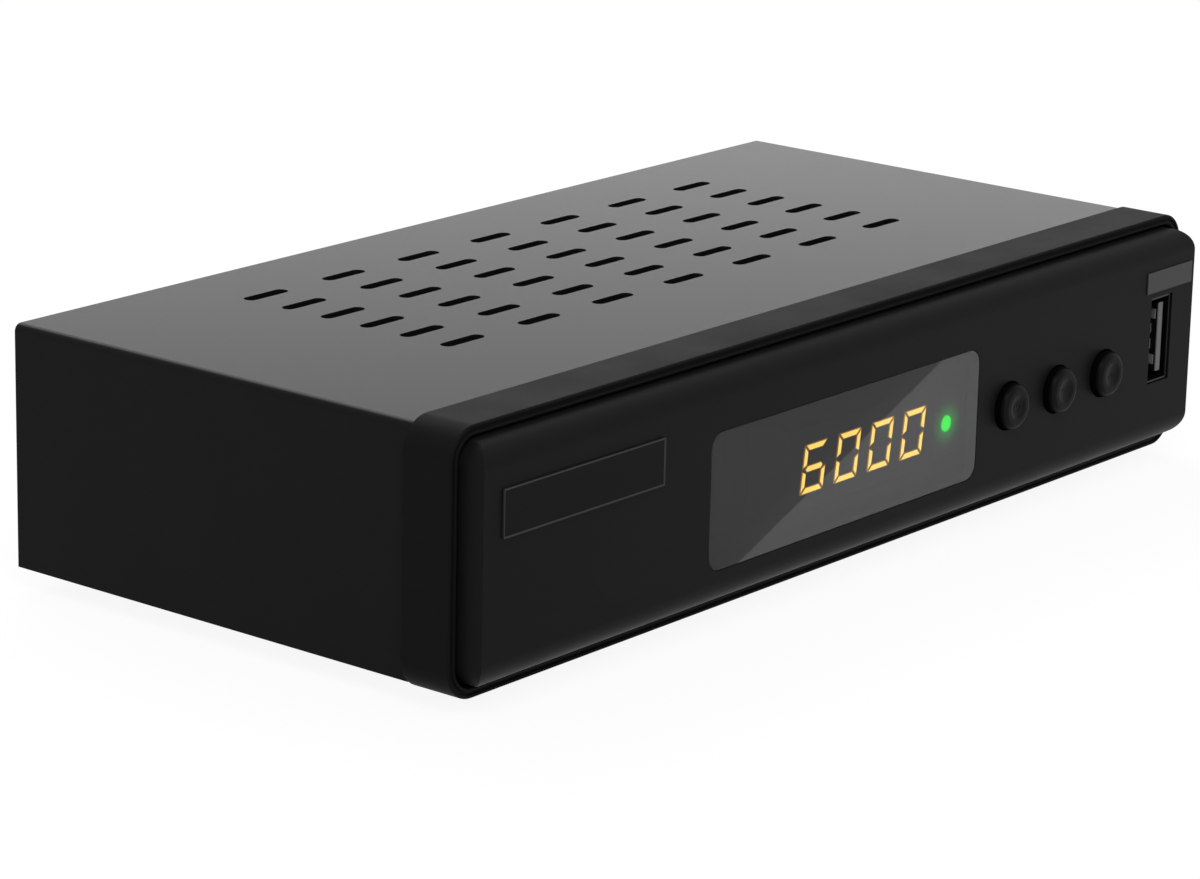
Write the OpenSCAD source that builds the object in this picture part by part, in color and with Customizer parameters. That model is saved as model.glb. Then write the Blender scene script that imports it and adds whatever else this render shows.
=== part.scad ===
// Cable television receiver: a folded steel case with a moulded front, a lit
// four digit display, three push buttons, a front data port and rear sockets.
// Lengths are millimetres. X runs to the right, Y to the back and Z up.
// The origin lies on the table, under the middle of the object's box.

/* [Case] */
// Width of the sheet cover
cover_w = 168; // [160:1:190]
// Depth of the sheet cover, front frame to rear edge
cover_d = 72; // [70:1:110]
// Height of the cover's side walls
cover_h = 34.7; // [34:0.1:45]
// Sheet steel thickness
sheet_t = 0.8; // [0.6:0.1:1]
// Inner bend radius of the folded sheet
bend_ri = 0.3; // [0.2:0.1:0.6]
// Gap between the cover and what it slides over
case_gap = 0.2; // [0.1:0.05:0.4]
// Gap where one piece butts or seats on another
seam_gap = 0.1; // [0.05:0.05:0.2]
// Height of the cover's rear flange
rear_lip_h = 6.5; // [5.5:0.5:8]
// Height of the tray's side lips
side_lip_h = 9; // [6:0.5:12]
// Height of the tray's front lip
front_lip_h = 5.8; // [5.6:0.1:6.2]

/* [Vents] */
// Columns of cover slots
vent_cols = 7; // [3:1:8]
// Rows of cover slots
vent_rows = 6; // [3:1:7]
// Column spacing
vent_pitch_x = 16.17; // [14:0.01:18]
// Row spacing
vent_pitch_y = 7.29; // [5:0.01:8]
// Length of a slot
vent_l = 8.1; // [5:0.1:10]
// Width of a slot
vent_w = 2.05; // [1:0.05:2.5]
// Middle of the slot field behind the cover's front edge
vent_y = 40.3; // [38:0.1:46]
// Columns of slots in the tray's floor
floor_cols = 6; // [3:1:7]
// Rows of slots in the tray's floor
floor_rows = 4; // [2:1:5]

/* [Feet] */
// Foot radius
foot_r = 5; // [4:0.5:7]
// Foot height under the tray
foot_h = 3; // [2:0.5:6]
// Foot centre from the cover's side and ends
foot_inset = 16; // [14:1:20]
// Edge chamfer of a foot
foot_chamfer = 0.6; // [0.3:0.1:1]

/* [Front frame] */
// Frame's overhang past the cover's sides
bezel_side = 1.6; // [1:0.1:3]
// Frame's rise over the cover's top
bezel_over = 0.75; // [0.5:0.05:1.5]
// Frame's drop under the cover's lower edge
bezel_drop = 1.05; // [0.5:0.05:1.5]
// Frame depth in front of the cover
bezel_d = 8.2; // [7.5:0.1:12]
// Corner radius of the frame
bezel_r = 4.6; // [4:0.1:6]
// Width of the frame's front lip
lip_w = 1.5; // [1.2:0.1:1.7]
// Radius of the two ridges along the lip's edges
lip_r = 0.3; // [0.2:0.05:0.35]
// Groove between the frame and the fascia
groove_w = 0.3; // [0.2:0.05:0.6]
// Width of the ledge that the fascia seats on
ledge_w = 4.6; // [4.4:0.1:4.9]
// Thickness of that ledge
ledge_d = 5; // [4:0.1:6]
// Depth of the collar inside the cover
collar_d = 5; // [3:0.5:8]
// Thickness of the collar
collar_t = 1.6; // [1:0.1:2]

/* [Fascia] */
// How far the fascia stands out of the frame
fascia_reach = 3.9; // [3:0.1:6]
// Wall of the fascia
fascia_t = 1.8; // [1.4:0.1:2.2]
// Corner radius of the fascia seen from the front
fascia_r = 3.4; // [2.8:0.1:4]
// Radius along the fascia's top edge
fascia_top_r = 3.4; // [2.6:0.1:4]
// Radius along the fascia's lower edge
fascia_low_r = 4; // [2.6:0.1:4.4]
// Width of a snap hook
hook_w = 7; // [4:0.5:10]
// Thickness of a snap hook
hook_t = 1.2; // [0.8:0.1:1.4]
// Catch of a snap hook over the ledge
hook_catch = 0.8; // [0.4:0.1:1]
// Spacing of the outer snap hooks from the middle
hook_x = 62; // [40:1:68]

/* [Window and plates] */
// Window width
window_w = 63.1; // [55:0.1:66]
// Window height
window_h = 19.6; // [18:0.1:21]
// Window corner radius
window_r = 2.4; // [1:0.1:4]
// Middle of the window above the cover's lower edge
window_z = 15.94; // [15:0.01:18]
// Clearance round the window pane
window_gap = 0.1; // [0.05:0.05:0.2]
// Overlap of the pane's flange behind the fascia
pane_lap = 1.5; // [1:0.1:2]
// Thickness of that flange
pane_flange_t = 1; // [0.6:0.1:1.5]
// Badge plate width
badge_w = 32.8; // [20:0.1:33]
// Badge plate height
badge_h = 6.6; // [4:0.1:8]
// Badge plate thickness
badge_t = 0.35; // [0.2:0.05:0.6]
// Badge plate from the fascia's left end
badge_inset = 3.7; // [3:0.1:6]
// Badge plate's top edge under the fascia's top edge
badge_drop = 6.1; // [5:0.1:10]
// Width of the small plate over the port's slot
tag_w = 12.4; // [8:0.1:13]
// Height of the small plate
tag_h = 3.3; // [2:0.1:3.6]
// Thickness of the small plate
tag_t = 0.2; // [0.1:0.05:0.4]
// Small plate from the fascia's right end and from the port's slot
tag_margin = 0.9; // [0.5:0.1:1]

/* [Buttons] */
// Radius of the holes in the fascia
button_hole_r = 3.7; // [3.4:0.1:4]
// Radial gap round a cap at the fascia's face
button_gap = 0.25; // [0.15:0.05:0.3]
// Radial running clearance in the guide collar
button_fit = 0.08; // [0.05:0.01:0.1]
// Spacing of the buttons
button_pitch = 12.6; // [12:0.1:14]
// Height of the buttons above the cover's lower edge
button_z = 15.4; // [15:0.1:17]
// First button right of the window's edge
button_from_window = 8.1; // [7:0.1:10]
// Last button left of the port's middle
button_to_port = 15.6; // [15:0.1:18]
// How far a cap stands out of the fascia
button_proud = 1.7; // [1:0.1:2.5]
// Edge radius of a cap
button_edge_r = 1; // [0.4:0.1:1.2]
// Depth of the dished face
button_dish = 0.3; // [0.1:0.05:0.5]
// Radius of the dished area
button_dish_r = 1.9; // [1.5:0.1:2.2]
// Length of the guide collar behind the fascia
guide_l = 2.2; // [1.5:0.1:2.4]
// Wall of the guide collar
guide_wall = 0.8; // [0.6:0.1:1]
// Radius that the retaining flange adds to a cap
flange_lap = 0.9; // [0.6:0.1:1]
// Thickness of the retaining flange
flange_t = 0.8; // [0.6:0.1:1]
// Radius of a cap's stem
stem_r = 1.5; // [1:0.1:1.6]
// Press travel of a button
press_travel = 0.5; // [0.2:0.05:0.6]
// Side of a push switch
switch_w = 6; // [5:0.1:6.4]
// Depth of a push switch
switch_d = 3.5; // [3:0.1:4]
// Plunger radius of a push switch
plunger_r = 1.7; // [1.4:0.1:1.8]
// Plunger stand out of a push switch
plunger_proud = 1.1; // [0.9:0.05:1.2]
// Plunger length held inside a push switch
plunger_held = 0.6; // [0.4:0.05:0.8]

/* [Front data port] */
// Width of the slot in the fascia
port_w = 5.8; // [5.7:0.05:6.4]
// Height of the slot in the fascia
port_h = 13.5; // [13.3:0.05:14]
// Middle of the slot above the cover's lower edge
port_z = 17.8; // [17:0.1:18.5]
// Middle of the slot from the fascia's right end
port_inset = 8.8; // [8.4:0.1:12]
// Clearance between the slot and the metal shell
port_gap = 0.1; // [0.05:0.05:0.15]
// Shell mouth behind the fascia's face
port_recess = 0.3; // [0.2:0.1:1.2]
// Sheet of the metal shell
port_shell_t = 0.3; // [0.25:0.05:0.4]
// Tongue thickness
port_tongue_t = 1.2; // [1.1:0.05:2]
// Tongue height
port_tongue_h = 10.8; // [10:0.1:11.4]
// Tongue tip behind the shell's mouth
port_tongue_back = 0.5; // [0.3:0.1:1]
// Gap between the tongue and the shell's near wall
port_tongue_gap = 0.8; // [0.3:0.05:1]
// Thickness of the socket's rear block
port_back_t = 2; // [1.5:0.1:3]
// Width of a contact strip
port_contact_w = 1.5; // [0.8:0.1:1.6]
// Thickness of a contact strip
port_contact_t = 0.2; // [0.1:0.05:0.3]
// Spacing of the contact strips
port_contact_pitch = 2.4; // [2:0.1:2.6]
// Inner pair of contact strips behind the tongue's tip
port_contact_back = 1.2; // [0.5:0.1:1.5]
// Outer pair of contact strips, which touch first, behind the tongue's tip
port_contact_lead = 0.5; // [0.2:0.1:0.5]
// Length of a grip spring in the shell
port_spring_l = 2.2; // [1.5:0.1:3]
// Width of a grip spring
port_spring_w = 1.8; // [1:0.1:2.4]
// Grip springs behind the shell's mouth
port_spring_back = 1; // [0.6:0.1:2]

/* [Display] */
// Depth of the digit block
display_d = 7.2; // [6.8:0.1:9]
// Air gap behind the window pane
display_gap = 0.2; // [0.15:0.05:0.4]
// Height of a digit
digit_h = 7.1; // [5:0.05:8]
// Width of a digit before its slant
digit_w = 5.35; // [3.5:0.05:6]
// Spacing of the digits
digit_pitch = 7.92; // [7:0.01:8.5]
// Slant of the digits in degrees
digit_slant = 8; // [0:1:10]
// Stroke of a digit segment
segment_w = 0.95; // [0.6:0.05:1.2]
// Gap between segments
segment_gap = 0.2; // [0.08:0.02:0.3]
// Thickness of a segment's light bar
segment_t = 0.1; // [0.05:0.01:0.12]
// Rim of the digit block round the digits
display_rim = 2.4; // [1.5:0.1:3]
// Digits' middle right of the window's middle
display_x = 7.7; // [5:0.1:8]
// Digits' middle below the window's middle
display_low = 1.1; // [0:0.1:1.5]
// Status light right of the window's middle
led_x = 27.9; // [27.4:0.1:28.4]
// Status light below the window's middle
led_low = 1.4; // [0:0.1:2]
// Radius of the status light
led_r = 1.2; // [1:0.1:1.6]
// Wall of the spacer behind the status light
led_spacer_wall = 0.4; // [0.2:0.1:0.8]
// Length of the status light's lens
led_l = 5.3; // [4:0.1:5.6]
// Remote eye left of the window's middle
eye_x = 24; // [18:0.5:26]
// Width of the remote eye's body
eye_w = 6; // [4:0.1:7]
// Height of the remote eye's body
eye_h = 7; // [5:0.1:8]
// Depth of the remote eye's body
eye_d = 3; // [2:0.1:3.5]
// Radius of the remote eye's lens
eye_r = 2; // [1.2:0.1:2.4]

/* [Boards] */
// Thickness of both circuit boards
board_t = 1.6; // [1:0.1:1.8]
// Stand-off of the main board over the tray's floor
standoff_h = 5; // [4:0.1:5.4]
// Stand-off radius
standoff_r = 3; // [2.5:0.1:3.2]
// Main board edge from the tray's side lips
board_margin = 4.2; // [3:0.1:6]
// Main board front edge behind the cover's front edge
board_front = 6; // [5.6:0.1:8]
// Main board's rear edge from the rear panel
board_back = 0.6; // [0.3:0.1:1.2]
// Main board holes from its side edges
board_hole_x = 3.5; // [3.2:0.1:4.5]
// Front holes of the main board from its front edge
board_hole_front = 5; // [4:0.1:8]
// Rear holes of the main board from its rear edge
board_hole_rear = 22; // [21:0.5:26]
// Front board's lower edge above the cover's lower edge
front_board_z = 6; // [5.8:0.1:6.4]
// Front board height
front_board_h = 20.6; // [20:0.1:20.9]
// Front board past its outer bosses and past the port's shell
front_board_edge = 0.9; // [0.8:0.1:1]
// Radius of the fascia bosses that carry the front board
boss_r = 2.5; // [2:0.1:2.6]
// Boss from the window's left edge
boss_from_window = 5.5; // [5:0.1:7]
// Lower bosses above the front board's lower edge
boss_low = 3.4; // [3:0.1:4]
// Spacing of the bosses in height
boss_pitch_z = 14; // [12:0.1:14.4]

/* [Screws] */
// Screw shank radius
screw_r = 1.25; // [1:0.05:1.3]
// Screw head radius
screw_head_r = 2.2; // [2:0.1:2.3]
// Screw head height
screw_head_h = 1.6; // [1.2:0.1:1.8]
// Length of a screw's shank
screw_l = 5.5; // [5:0.1:6]
// Radial clearance of a screw in its thread hole
screw_fit = 0.05; // [0.02:0.01:0.1]
// Radial clearance of a screw in a pass hole
screw_pass = 0.4; // [0.2:0.05:0.5]
// Cross recess of a screw: arm length
recess_l = 2.8; // [2:0.1:3.2]
// Cross recess of a screw: arm width
recess_w = 0.6; // [0.4:0.05:0.8]
// Cross recess of a screw: depth
recess_d = 0.8; // [0.5:0.1:1]
// Cover screws from the cover's sides
cover_screw_inset = 12; // [8:1:20]
// Frame screws from the middle
frame_screw_x = 60; // [40:1:66]
// Depth of the frame screws in the ledge
frame_screw_l = 4; // [3:0.1:4.4]
// Frame screws above the cover's lower edge
frame_screw_z = 3.2; // [3.1:0.1:3.4]

/* [Rear sockets] */
// Clearance of a socket in its panel hole
panel_gap = 0.4; // [0.2:0.1:0.8]
// Gap between a socket's body and the panel
panel_stand = 0.2; // [0.1:0.05:0.4]
// Row of sockets from the main board's side edges
row_margin = 7.5; // [7:0.1:9]
// Tuner can width
tuner_w = 35; // [32:0.5:36]
// Tuner can depth
tuner_d = 28; // [22:0.5:32]
// Tuner can height
tuner_h = 14; // [13:0.5:18]
// Sheet of the tuner can's lid edge
tuner_lid_t = 0.3; // [0.2:0.1:0.5]
// Height of the tuner can's lid edge
tuner_lid_h = 2.5; // [1.5:0.1:4]
// Spacing of the two aerial sockets
aerial_pitch = 17; // [15:0.5:18]
// Height of the sockets' axis over the main board
socket_z = 6.8; // [6.6:0.1:7.2]
// Bore radius of the aerial input
aerial_r = 4.75; // [4.6:0.01:4.9]
// Wall of the aerial sockets
aerial_wall = 0.75; // [0.6:0.05:0.9]
// Length of the aerial sockets past the panel
aerial_l = 9.5; // [8:0.1:12]
// Radius of the aerial pin
aerial_pin_r = 1.2; // [1.1:0.01:1.3]
// Wall of the aerial input's spring contact
aerial_tube_wall = 0.5; // [0.3:0.05:0.6]
// Spring contact behind the aerial input's mouth
aerial_tube_back = 1; // [0.5:0.1:2]
// Width of the large audio and video socket
av_w = 52; // [50:0.5:54]
// Height of the large socket's body
av_h = 18; // [17.5:0.1:19]
// Depth of the large socket's body
av_d = 13; // [12:0.5:16]
// Width of the large socket's opening
av_open_w = 46.6; // [45:0.1:48]
// Height of the large socket's opening
av_open_h = 12.6; // [12:0.1:13]
// Rim of the large socket round its opening
av_rim = 1.2; // [0.8:0.1:1.4]
// Slanted corner of the opening
av_slant = 4.2; // [3:0.1:5]
// Groove round the contact block
av_groove = 1.5; // [1.2:0.1:1.8]
// Depth of the groove
av_groove_d = 9; // [7:0.5:10]
// Rim's stand out of the panel
av_proud = 1; // [0.5:0.1:2]
// Contact slots in one row
av_slots = 10; // [6:1:10]
// Spacing of the contact slots
av_slot_pitch = 3.81; // [3.5:0.01:4]
// Width of a contact slot
av_slot_w = 1.1; // [0.8:0.1:1.4]
// Height of a contact slot
av_slot_h = 2.8; // [2:0.1:3.2]
// Distance between the rows of contact slots
av_row = 4.4; // [4:0.1:4.8]
// Width of the digital video socket
video_w = 15; // [14.5:0.1:15.5]
// Height of the digital video socket
video_h = 5.6; // [5.2:0.1:6]
// Depth of the digital video socket
video_d = 11.5; // [10:0.1:13]
// Sheet of its shell
video_t = 0.35; // [0.25:0.05:0.5]
// Lower corner cut of its shell
video_cut = 1.6; // [1:0.1:2]
// Width of its tongue
video_tongue_w = 11.2; // [10:0.1:11.6]
// Thickness of its tongue
video_tongue_t = 1.4; // [1:0.1:1.8]
// Its mouth past the panel
video_proud = 0.6; // [0.3:0.1:1]
// Its tongue behind the mouth
video_tongue_back = 1; // [0.6:0.1:1.5]
// Thickness of its rear block
video_back_t = 3; // [2:0.1:4]
// Width of the digital audio jack's body
audio_w = 10.4; // [9.6:0.1:11]
// Height of the audio jack's body
audio_h = 12.4; // [12:0.1:14]
// Depth of the audio jack's body
audio_d = 12; // [8:0.5:14]
// Outer radius of the audio jack's ring
audio_ring_r = 4.15; // [4.1:0.01:4.3]
// Wall of the audio jack's ring
audio_ring_wall = 0.5; // [0.4:0.05:0.6]
// Radius that the shoulder adds to the audio jack's ring
audio_shoulder = 0.9; // [0.6:0.1:0.95]
// Shoulders of the round sockets past the panel
shoulder_l = 0.8; // [0.4:0.1:1.2]
// Core of the audio jack behind its ring's mouth
audio_core_back = 0.3; // [0.1:0.1:1]
// Bore depth of the audio jack inside the case
audio_bore_in = 6; // [4:0.5:7]
// Bore radius of the audio jack
audio_bore_r = 1.6; // [1.5:0.01:1.7]
// Length of the audio jack past the panel
audio_l = 9; // [7:0.1:10]
// Width of the power jack
power_w = 9.4; // [8.8:0.1:10]
// Height of the power jack
power_h = 11; // [10.6:0.1:12]
// Depth of the power jack
power_d = 14; // [12:0.5:15]
// Bore radius of the power jack
power_bore_r = 3.1; // [2.9:0.01:3.3]
// Pin radius of the power jack
power_pin_r = 1.05; // [0.9:0.01:1.2]
// Nose radius of the power jack in the panel
power_nose_r = 4.2; // [4:0.1:4.4]
// Nose of the power jack past the panel
power_proud = 0.8; // [0.4:0.1:1.5]
// Depth of the power jack's bore
power_bore_l = 10; // [9:0.1:12]
// Pin tip behind the power jack's mouth
power_pin_back = 0.6; // [0.2:0.1:1]

/* [Board pieces] */
// Side of the processor
chip_w = 17; // [14:0.5:21]
// Height of the processor
chip_h = 1.4; // [1:0.1:2]
// Side of the heat sink
sink_w = 23; // [18:0.5:24]
// Height of the heat sink
sink_h = 8; // [6:0.5:10]
// Base thickness of the heat sink
sink_base = 2; // [1.5:0.1:2.5]
// Number of fins
sink_fins = 7; // [5:1:8]
// Thickness of a fin
fin_t = 1; // [0.8:0.1:1.2]
// Heat sink's middle behind the board's front edge
sink_y = 30; // [28:0.5:32]
// Memory chip width
memory_w = 8; // [6:0.5:9]
// Memory chip length
memory_l = 13; // [10:0.5:14]
// Memory chip height
memory_h = 1.1; // [0.8:0.1:1.4]
// Capacitor radius
cap_r = 3.15; // [2.5:0.05:3.5]
// Capacitor height
cap_h = 11; // [8:0.5:11.5]
// Crimp radius of a capacitor
cap_crimp_r = 0.35; // [0.2:0.05:0.5]
// Crimp of a capacitor above its foot
cap_crimp_z = 1.6; // [1:0.1:2.5]
// Edge gap between pieces that stand beside each other on the main board
board_piece_gap = 3; // [2:0.5:4]
// Capacitor spacing
cap_pitch = 8.4; // [8:0.1:9]
// Side of a power coil
coil_w = 7; // [6:0.1:8]
// Height of a power coil
coil_h = 4; // [3:0.1:5]
// Crystal can length
crystal_l = 11; // [9:0.1:12]
// Crystal can width
crystal_w = 4.6; // [4:0.1:5]
// Crystal can height
crystal_h = 3.6; // [3:0.1:5]
// Number of wires in the ribbon
ribbon_wires = 10; // [6:1:12]
// Wire spacing in the ribbon
ribbon_pitch = 1.27; // [1.2:0.01:1.3]
// Radius of a wire in the ribbon
ribbon_r = 0.66; // [0.65:0.01:0.7]
// Bend radius of the ribbon
ribbon_bend = 8; // [7.5:0.5:10]
// Height of the ribbon's plugs
plug_h = 6; // [5:0.1:6.5]
// Thickness of the ribbon's plugs
plug_t = 4.5; // [3.5:0.1:5]
// Wall that a plug adds at each end of the ribbon
plug_end = 1.2; // [0.8:0.1:2]
// Ribbon's middle right of the fascia's left bosses
ribbon_from_boss = 14.5; // [11:0.5:20]

/* [Hidden] */
$fn = 48;

// Small overshoot for clean cuts
eps = 0.5;
black = [0.05, 0.05, 0.055];
matt = [0.09, 0.09, 0.095];
steel = [0.72, 0.73, 0.74];
gold = [0.83, 0.67, 0.3];
green = [0.1, 0.35, 0.18];

// Outlines in the cover's own frame: y = 0 at the frame's rear face and
// z = 0 at the cover's lower edge
bend_ro = bend_ri + sheet_t;
inner_w = cover_w - 2 * sheet_t;
tray_hw = inner_w / 2 - case_gap;
panel_y1 = cover_d - sheet_t - seam_gap;
panel_y0 = panel_y1 - sheet_t;
panel_top = cover_h - sheet_t - case_gap;
bezel_w = cover_w + 2 * bezel_side;
bezel_h = cover_h + bezel_over + bezel_drop;
bezel_zc = (cover_h + bezel_over - bezel_drop) / 2;
fascia_w = bezel_w - 2 * (lip_w + groove_w);
fascia_h = bezel_h - 2 * (lip_w + groove_w);
fascia_top = bezel_zc + fascia_h / 2;
face_y = -(bezel_d + fascia_reach);
wall_y = face_y + fascia_t;
ledge_open_w = fascia_w - 2 * ledge_w;
ledge_open_h = fascia_h - 2 * ledge_w;

// Front layout, chained from the fascia's right end
port_x = fascia_w / 2 - port_inset;
button_x = [for (i = [0 : 2]) port_x - button_to_port - (2 - i) * button_pitch];
window_x = button_x[0] - button_from_window - window_w / 2;
pane_back = wall_y + pane_flange_t;
block_y = pane_back + display_gap;
front_board_y = block_y + display_d;
digit_span = 3 * digit_pitch + digit_w + digit_h * tan(digit_slant);
digit_x0 = window_x + display_x - digit_span / 2;
digit_z0 = window_z - display_low - digit_h / 2;
boss_x = [window_x - window_w / 2 - boss_from_window, (button_x[2] + port_x) / 2];
boss_z = [front_board_z + boss_low, front_board_z + boss_low + boss_pitch_z];
front_board_x0 = boss_x[0] - boss_r - front_board_edge;
front_board_x1 = port_x + port_w / 2 + front_board_edge;

// Front data port, and the lit bars of the digits shown
port_mouth = face_y + port_recess;
port_out = [port_w - 2 * port_gap, port_h - 2 * port_gap];
port_in = port_out - 2 * [port_shell_t, port_shell_t];
six = [0, 2, 3, 4, 5, 6];
zero = [0, 1, 2, 3, 4, 5];

// Button stack along y, rear faces first
cap_r_out = button_hole_r - button_gap;
guide_end = wall_y + guide_l;
flange_y = guide_end + seam_gap;
plunger_tip = front_board_y - switch_d - plunger_proud;
stem_end = plunger_tip - seam_gap / 2;

// Main board and its rear row
board_z0 = sheet_t + standoff_h;
board_z1 = board_z0 + board_t;
board_hw = tray_hw - sheet_t - board_margin;
board_y1 = panel_y0 - board_back;
hole_x = board_hw - board_hole_x;
hole_y = [board_front + board_hole_front, board_y1 - board_hole_rear];
row_w = [power_w, audio_w, video_w, av_w, tuner_w];
function sum_to(i) = i < 0 ? 0 : row_w[i] + sum_to(i - 1);
row_gap = (2 * (board_hw - row_margin) - sum_to(4)) / 4;
row_x = [for (i = [0 : 4])
    row_margin - board_hw + sum_to(i - 1) + i * row_gap + row_w[i] / 2];
socket_y = panel_y0 - panel_stand;
axis_z = board_z1 + socket_z;
aerial_x = [row_x[4] - aerial_pitch / 2, row_x[4] + aerial_pitch / 2];
aerial_y1 = panel_y1 + aerial_l;
av_z = board_z1 + av_h / 2;
sink_pos = [0, board_front + sink_y];
cover_screw_x = cover_w / 2 - cover_screw_inset;
cover_screw_z = cover_h - rear_lip_h / 2;
ribbon_w = (ribbon_wires - 1) * ribbon_pitch + 2 * ribbon_r;
plug_w = ribbon_w + 2 * plug_end;
rear_face_y = front_board_y + board_t;
ribbon_x = boss_x[0] + ribbon_from_boss;
ribbon_y = rear_face_y + plug_h + ribbon_bend;
ribbon_z = board_z1 + plug_h + ribbon_bend;

// Shift that puts the origin under the middle of the box
shift_y = -(face_y - button_proud + aerial_y1) / 2;

module place() {
    translate([0, shift_y, foot_h]) children();
}

// Rectangle with round corners about the origin
module round_rect(w, h, r) {
    square([w - 2 * r, h], center = true);
    square([w, h - 2 * r], center = true);
    for (x = [-1, 1], z = [-1, 1])
        translate([x * (w / 2 - r), z * (h / 2 - r)]) circle(r);
}

// Slot with round ends along the first axis
module stadium(l, w) {
    square([l - w, w], center = true);
    for (s = [-1, 1]) translate([s * (l - w) / 2, 0]) circle(w / 2);
}

// Runs a front view outline from y0 back to y1
module along_y(y0, y1) {
    translate([0, y1, 0]) rotate([90, 0, 0]) linear_extrude(y1 - y0) children();
}

// Runs a side view outline from x0 to x1
module along_x(x0, x1) {
    translate([x0, 0, 0]) rotate([90, 0, 90]) linear_extrude(x1 - x0) children();
}

// Cylinder along y
module rod_y(x, z, y0, y1, r) {
    translate([x, y1, z]) rotate([90, 0, 0]) cylinder(h = y1 - y0, r = r);
}

// Box from its low corner to its high corner
module block(a, b) {
    translate(a) cube(b - a);
}

// Screw whose head seats on z = 0 and whose shank runs down
module screw(l) {
    difference() {
        union() {
            translate([0, 0, -l]) cylinder(h = l, r = screw_r);
            cylinder(h = screw_head_h, r = screw_head_r);
        }
        for (a = [0, 90]) rotate(a)
            translate([-recess_l / 2, -recess_w / 2, screw_head_h - recess_d])
                cube([recess_l, recess_w, recess_d + eps]);
    }
}

// Screw driven forward from behind, its head seated on y
module screw_from_back(x, y, z, l) {
    translate([x, y, z]) rotate([-90, 0, 0]) screw(l);
}

// Folded outline of the cover or of its hollow
module hood(w, h, r) {
    translate([-w / 2, 0]) square([w, h - r]);
    translate([-w / 2 + r, 0]) square([w - 2 * r, h]);
    for (s = [-1, 1]) translate([s * (w / 2 - r), h - r]) circle(r);
}

module top_cover() {
    color(black) place() difference() {
        union() {
            along_y(seam_gap, cover_d) difference() {
                hood(cover_w, cover_h, bend_ro);
                translate([0, -eps])
                    hood(inner_w, cover_h - sheet_t + eps, bend_ri);
            }
            block([-inner_w / 2, cover_d - sheet_t, cover_h - rear_lip_h],
                  [inner_w / 2, cover_d, cover_h - sheet_t]);
        }
        translate([0, vent_y, cover_h - sheet_t - eps])
            linear_extrude(sheet_t + 2 * eps)
            for (i = [1 : vent_cols], j = [1 : vent_rows])
                translate([(i - (vent_cols + 1) / 2) * vent_pitch_x,
                           (j - (vent_rows + 1) / 2) * vent_pitch_y])
                    stadium(vent_l, vent_w);
        for (s = [-1, 1])
            rod_y(s * cover_screw_x, cover_screw_z, cover_d - sheet_t - eps,
                  cover_d + eps, screw_r + screw_pass);
    }
}

// Outline of the large socket's opening with one slanted corner
module av_outline(w, h, slant) {
    polygon([[-w / 2, -h / 2], [w / 2, -h / 2], [w / 2, h / 2 - slant],
             [w / 2 - slant, h / 2], [-w / 2, h / 2]]);
}

// Outline of the digital video socket with its lower corners cut
module video_outline(w, h, cut) {
    polygon([[-w / 2, h / 2], [-w / 2, cut - h / 2], [cut - w / 2, -h / 2],
             [w / 2 - cut, -h / 2], [w / 2, cut - h / 2], [w / 2, h / 2]]);
}

// Holes in the rear panel, one for each socket
module panel_holes() {
    translate([row_x[0], axis_z]) circle(power_nose_r + panel_gap);
    translate([row_x[1], axis_z]) circle(audio_ring_r + audio_shoulder + panel_gap);
    translate([row_x[2], board_z1 + video_h / 2])
        video_outline(video_w + 2 * panel_gap, video_h + 2 * panel_gap, video_cut);
    translate([row_x[3], av_z])
        av_outline(av_open_w + 2 * (av_rim + panel_gap),
                   av_open_h + 2 * (av_rim + panel_gap), av_slant);
    for (x = aerial_x) translate([x, axis_z])
        circle(aerial_r + aerial_wall + panel_gap);
    for (s = [-1, 1]) translate([s * cover_screw_x, cover_screw_z])
        circle(screw_r + screw_fit);
}

module chassis_tray() {
    floor_y0 = seam_gap;
    color(matt) place() difference() {
        union() {
            block([-tray_hw, floor_y0, 0], [tray_hw, panel_y1, sheet_t]);
            for (s = [0, 1]) mirror([s, 0, 0])
                block([tray_hw - sheet_t, floor_y0 + sheet_t, 0],
                      [tray_hw, panel_y1, side_lip_h]);
            block([-hole_x, floor_y0, 0], [hole_x, floor_y0 + sheet_t, front_lip_h]);
            along_y(panel_y0, panel_y1) difference() {
                translate([-tray_hw, 0]) square([2 * tray_hw, panel_top]);
                panel_holes();
            }
            for (s = [-1, 1], y = hole_y) translate([s * hole_x, y, 0])
                cylinder(h = board_z0, r = standoff_r);
        }
        for (s = [-1, 1], y = hole_y) translate([s * hole_x, y, -eps])
            cylinder(h = board_z0 + 2 * eps, r = screw_r + screw_fit);
        for (s = [-1, 1])
            rod_y(s * frame_screw_x, frame_screw_z, floor_y0 - eps,
                  floor_y0 + sheet_t + eps, screw_r + screw_pass);
        translate([0, (board_front + board_y1) / 2, -eps])
            linear_extrude(sheet_t + 2 * eps)
            for (i = [1 : floor_cols], j = [1 : floor_rows])
                translate([(i - (floor_cols + 1) / 2) * vent_pitch_x,
                           (j - (floor_rows + 1) / 2) * vent_pitch_y])
                    stadium(vent_l, vent_w);
    }
}

// Round bead along a rounded rectangle that stands upright
module bead(w, h, r, bead_r) {
    for (s = [-1, 1]) {
        translate([r - w / 2, 0, s * (h / 2)]) rotate([0, 90, 0])
            cylinder(h = w - 2 * r, r = bead_r);
        translate([s * (w / 2), 0, r - h / 2]) cylinder(h = h - 2 * r, r = bead_r);
    }
    for (a = [0 : 3]) {
        x = (a == 0 || a == 3 ? 1 : -1) * (w / 2 - r);
        z = (a < 2 ? 1 : -1) * (h / 2 - r);
        translate([x, 0, z]) rotate([90, 0, 0]) rotate(a * 90)
            rotate_extrude(angle = 90) translate([r, 0]) circle(bead_r);
    }
}

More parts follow.
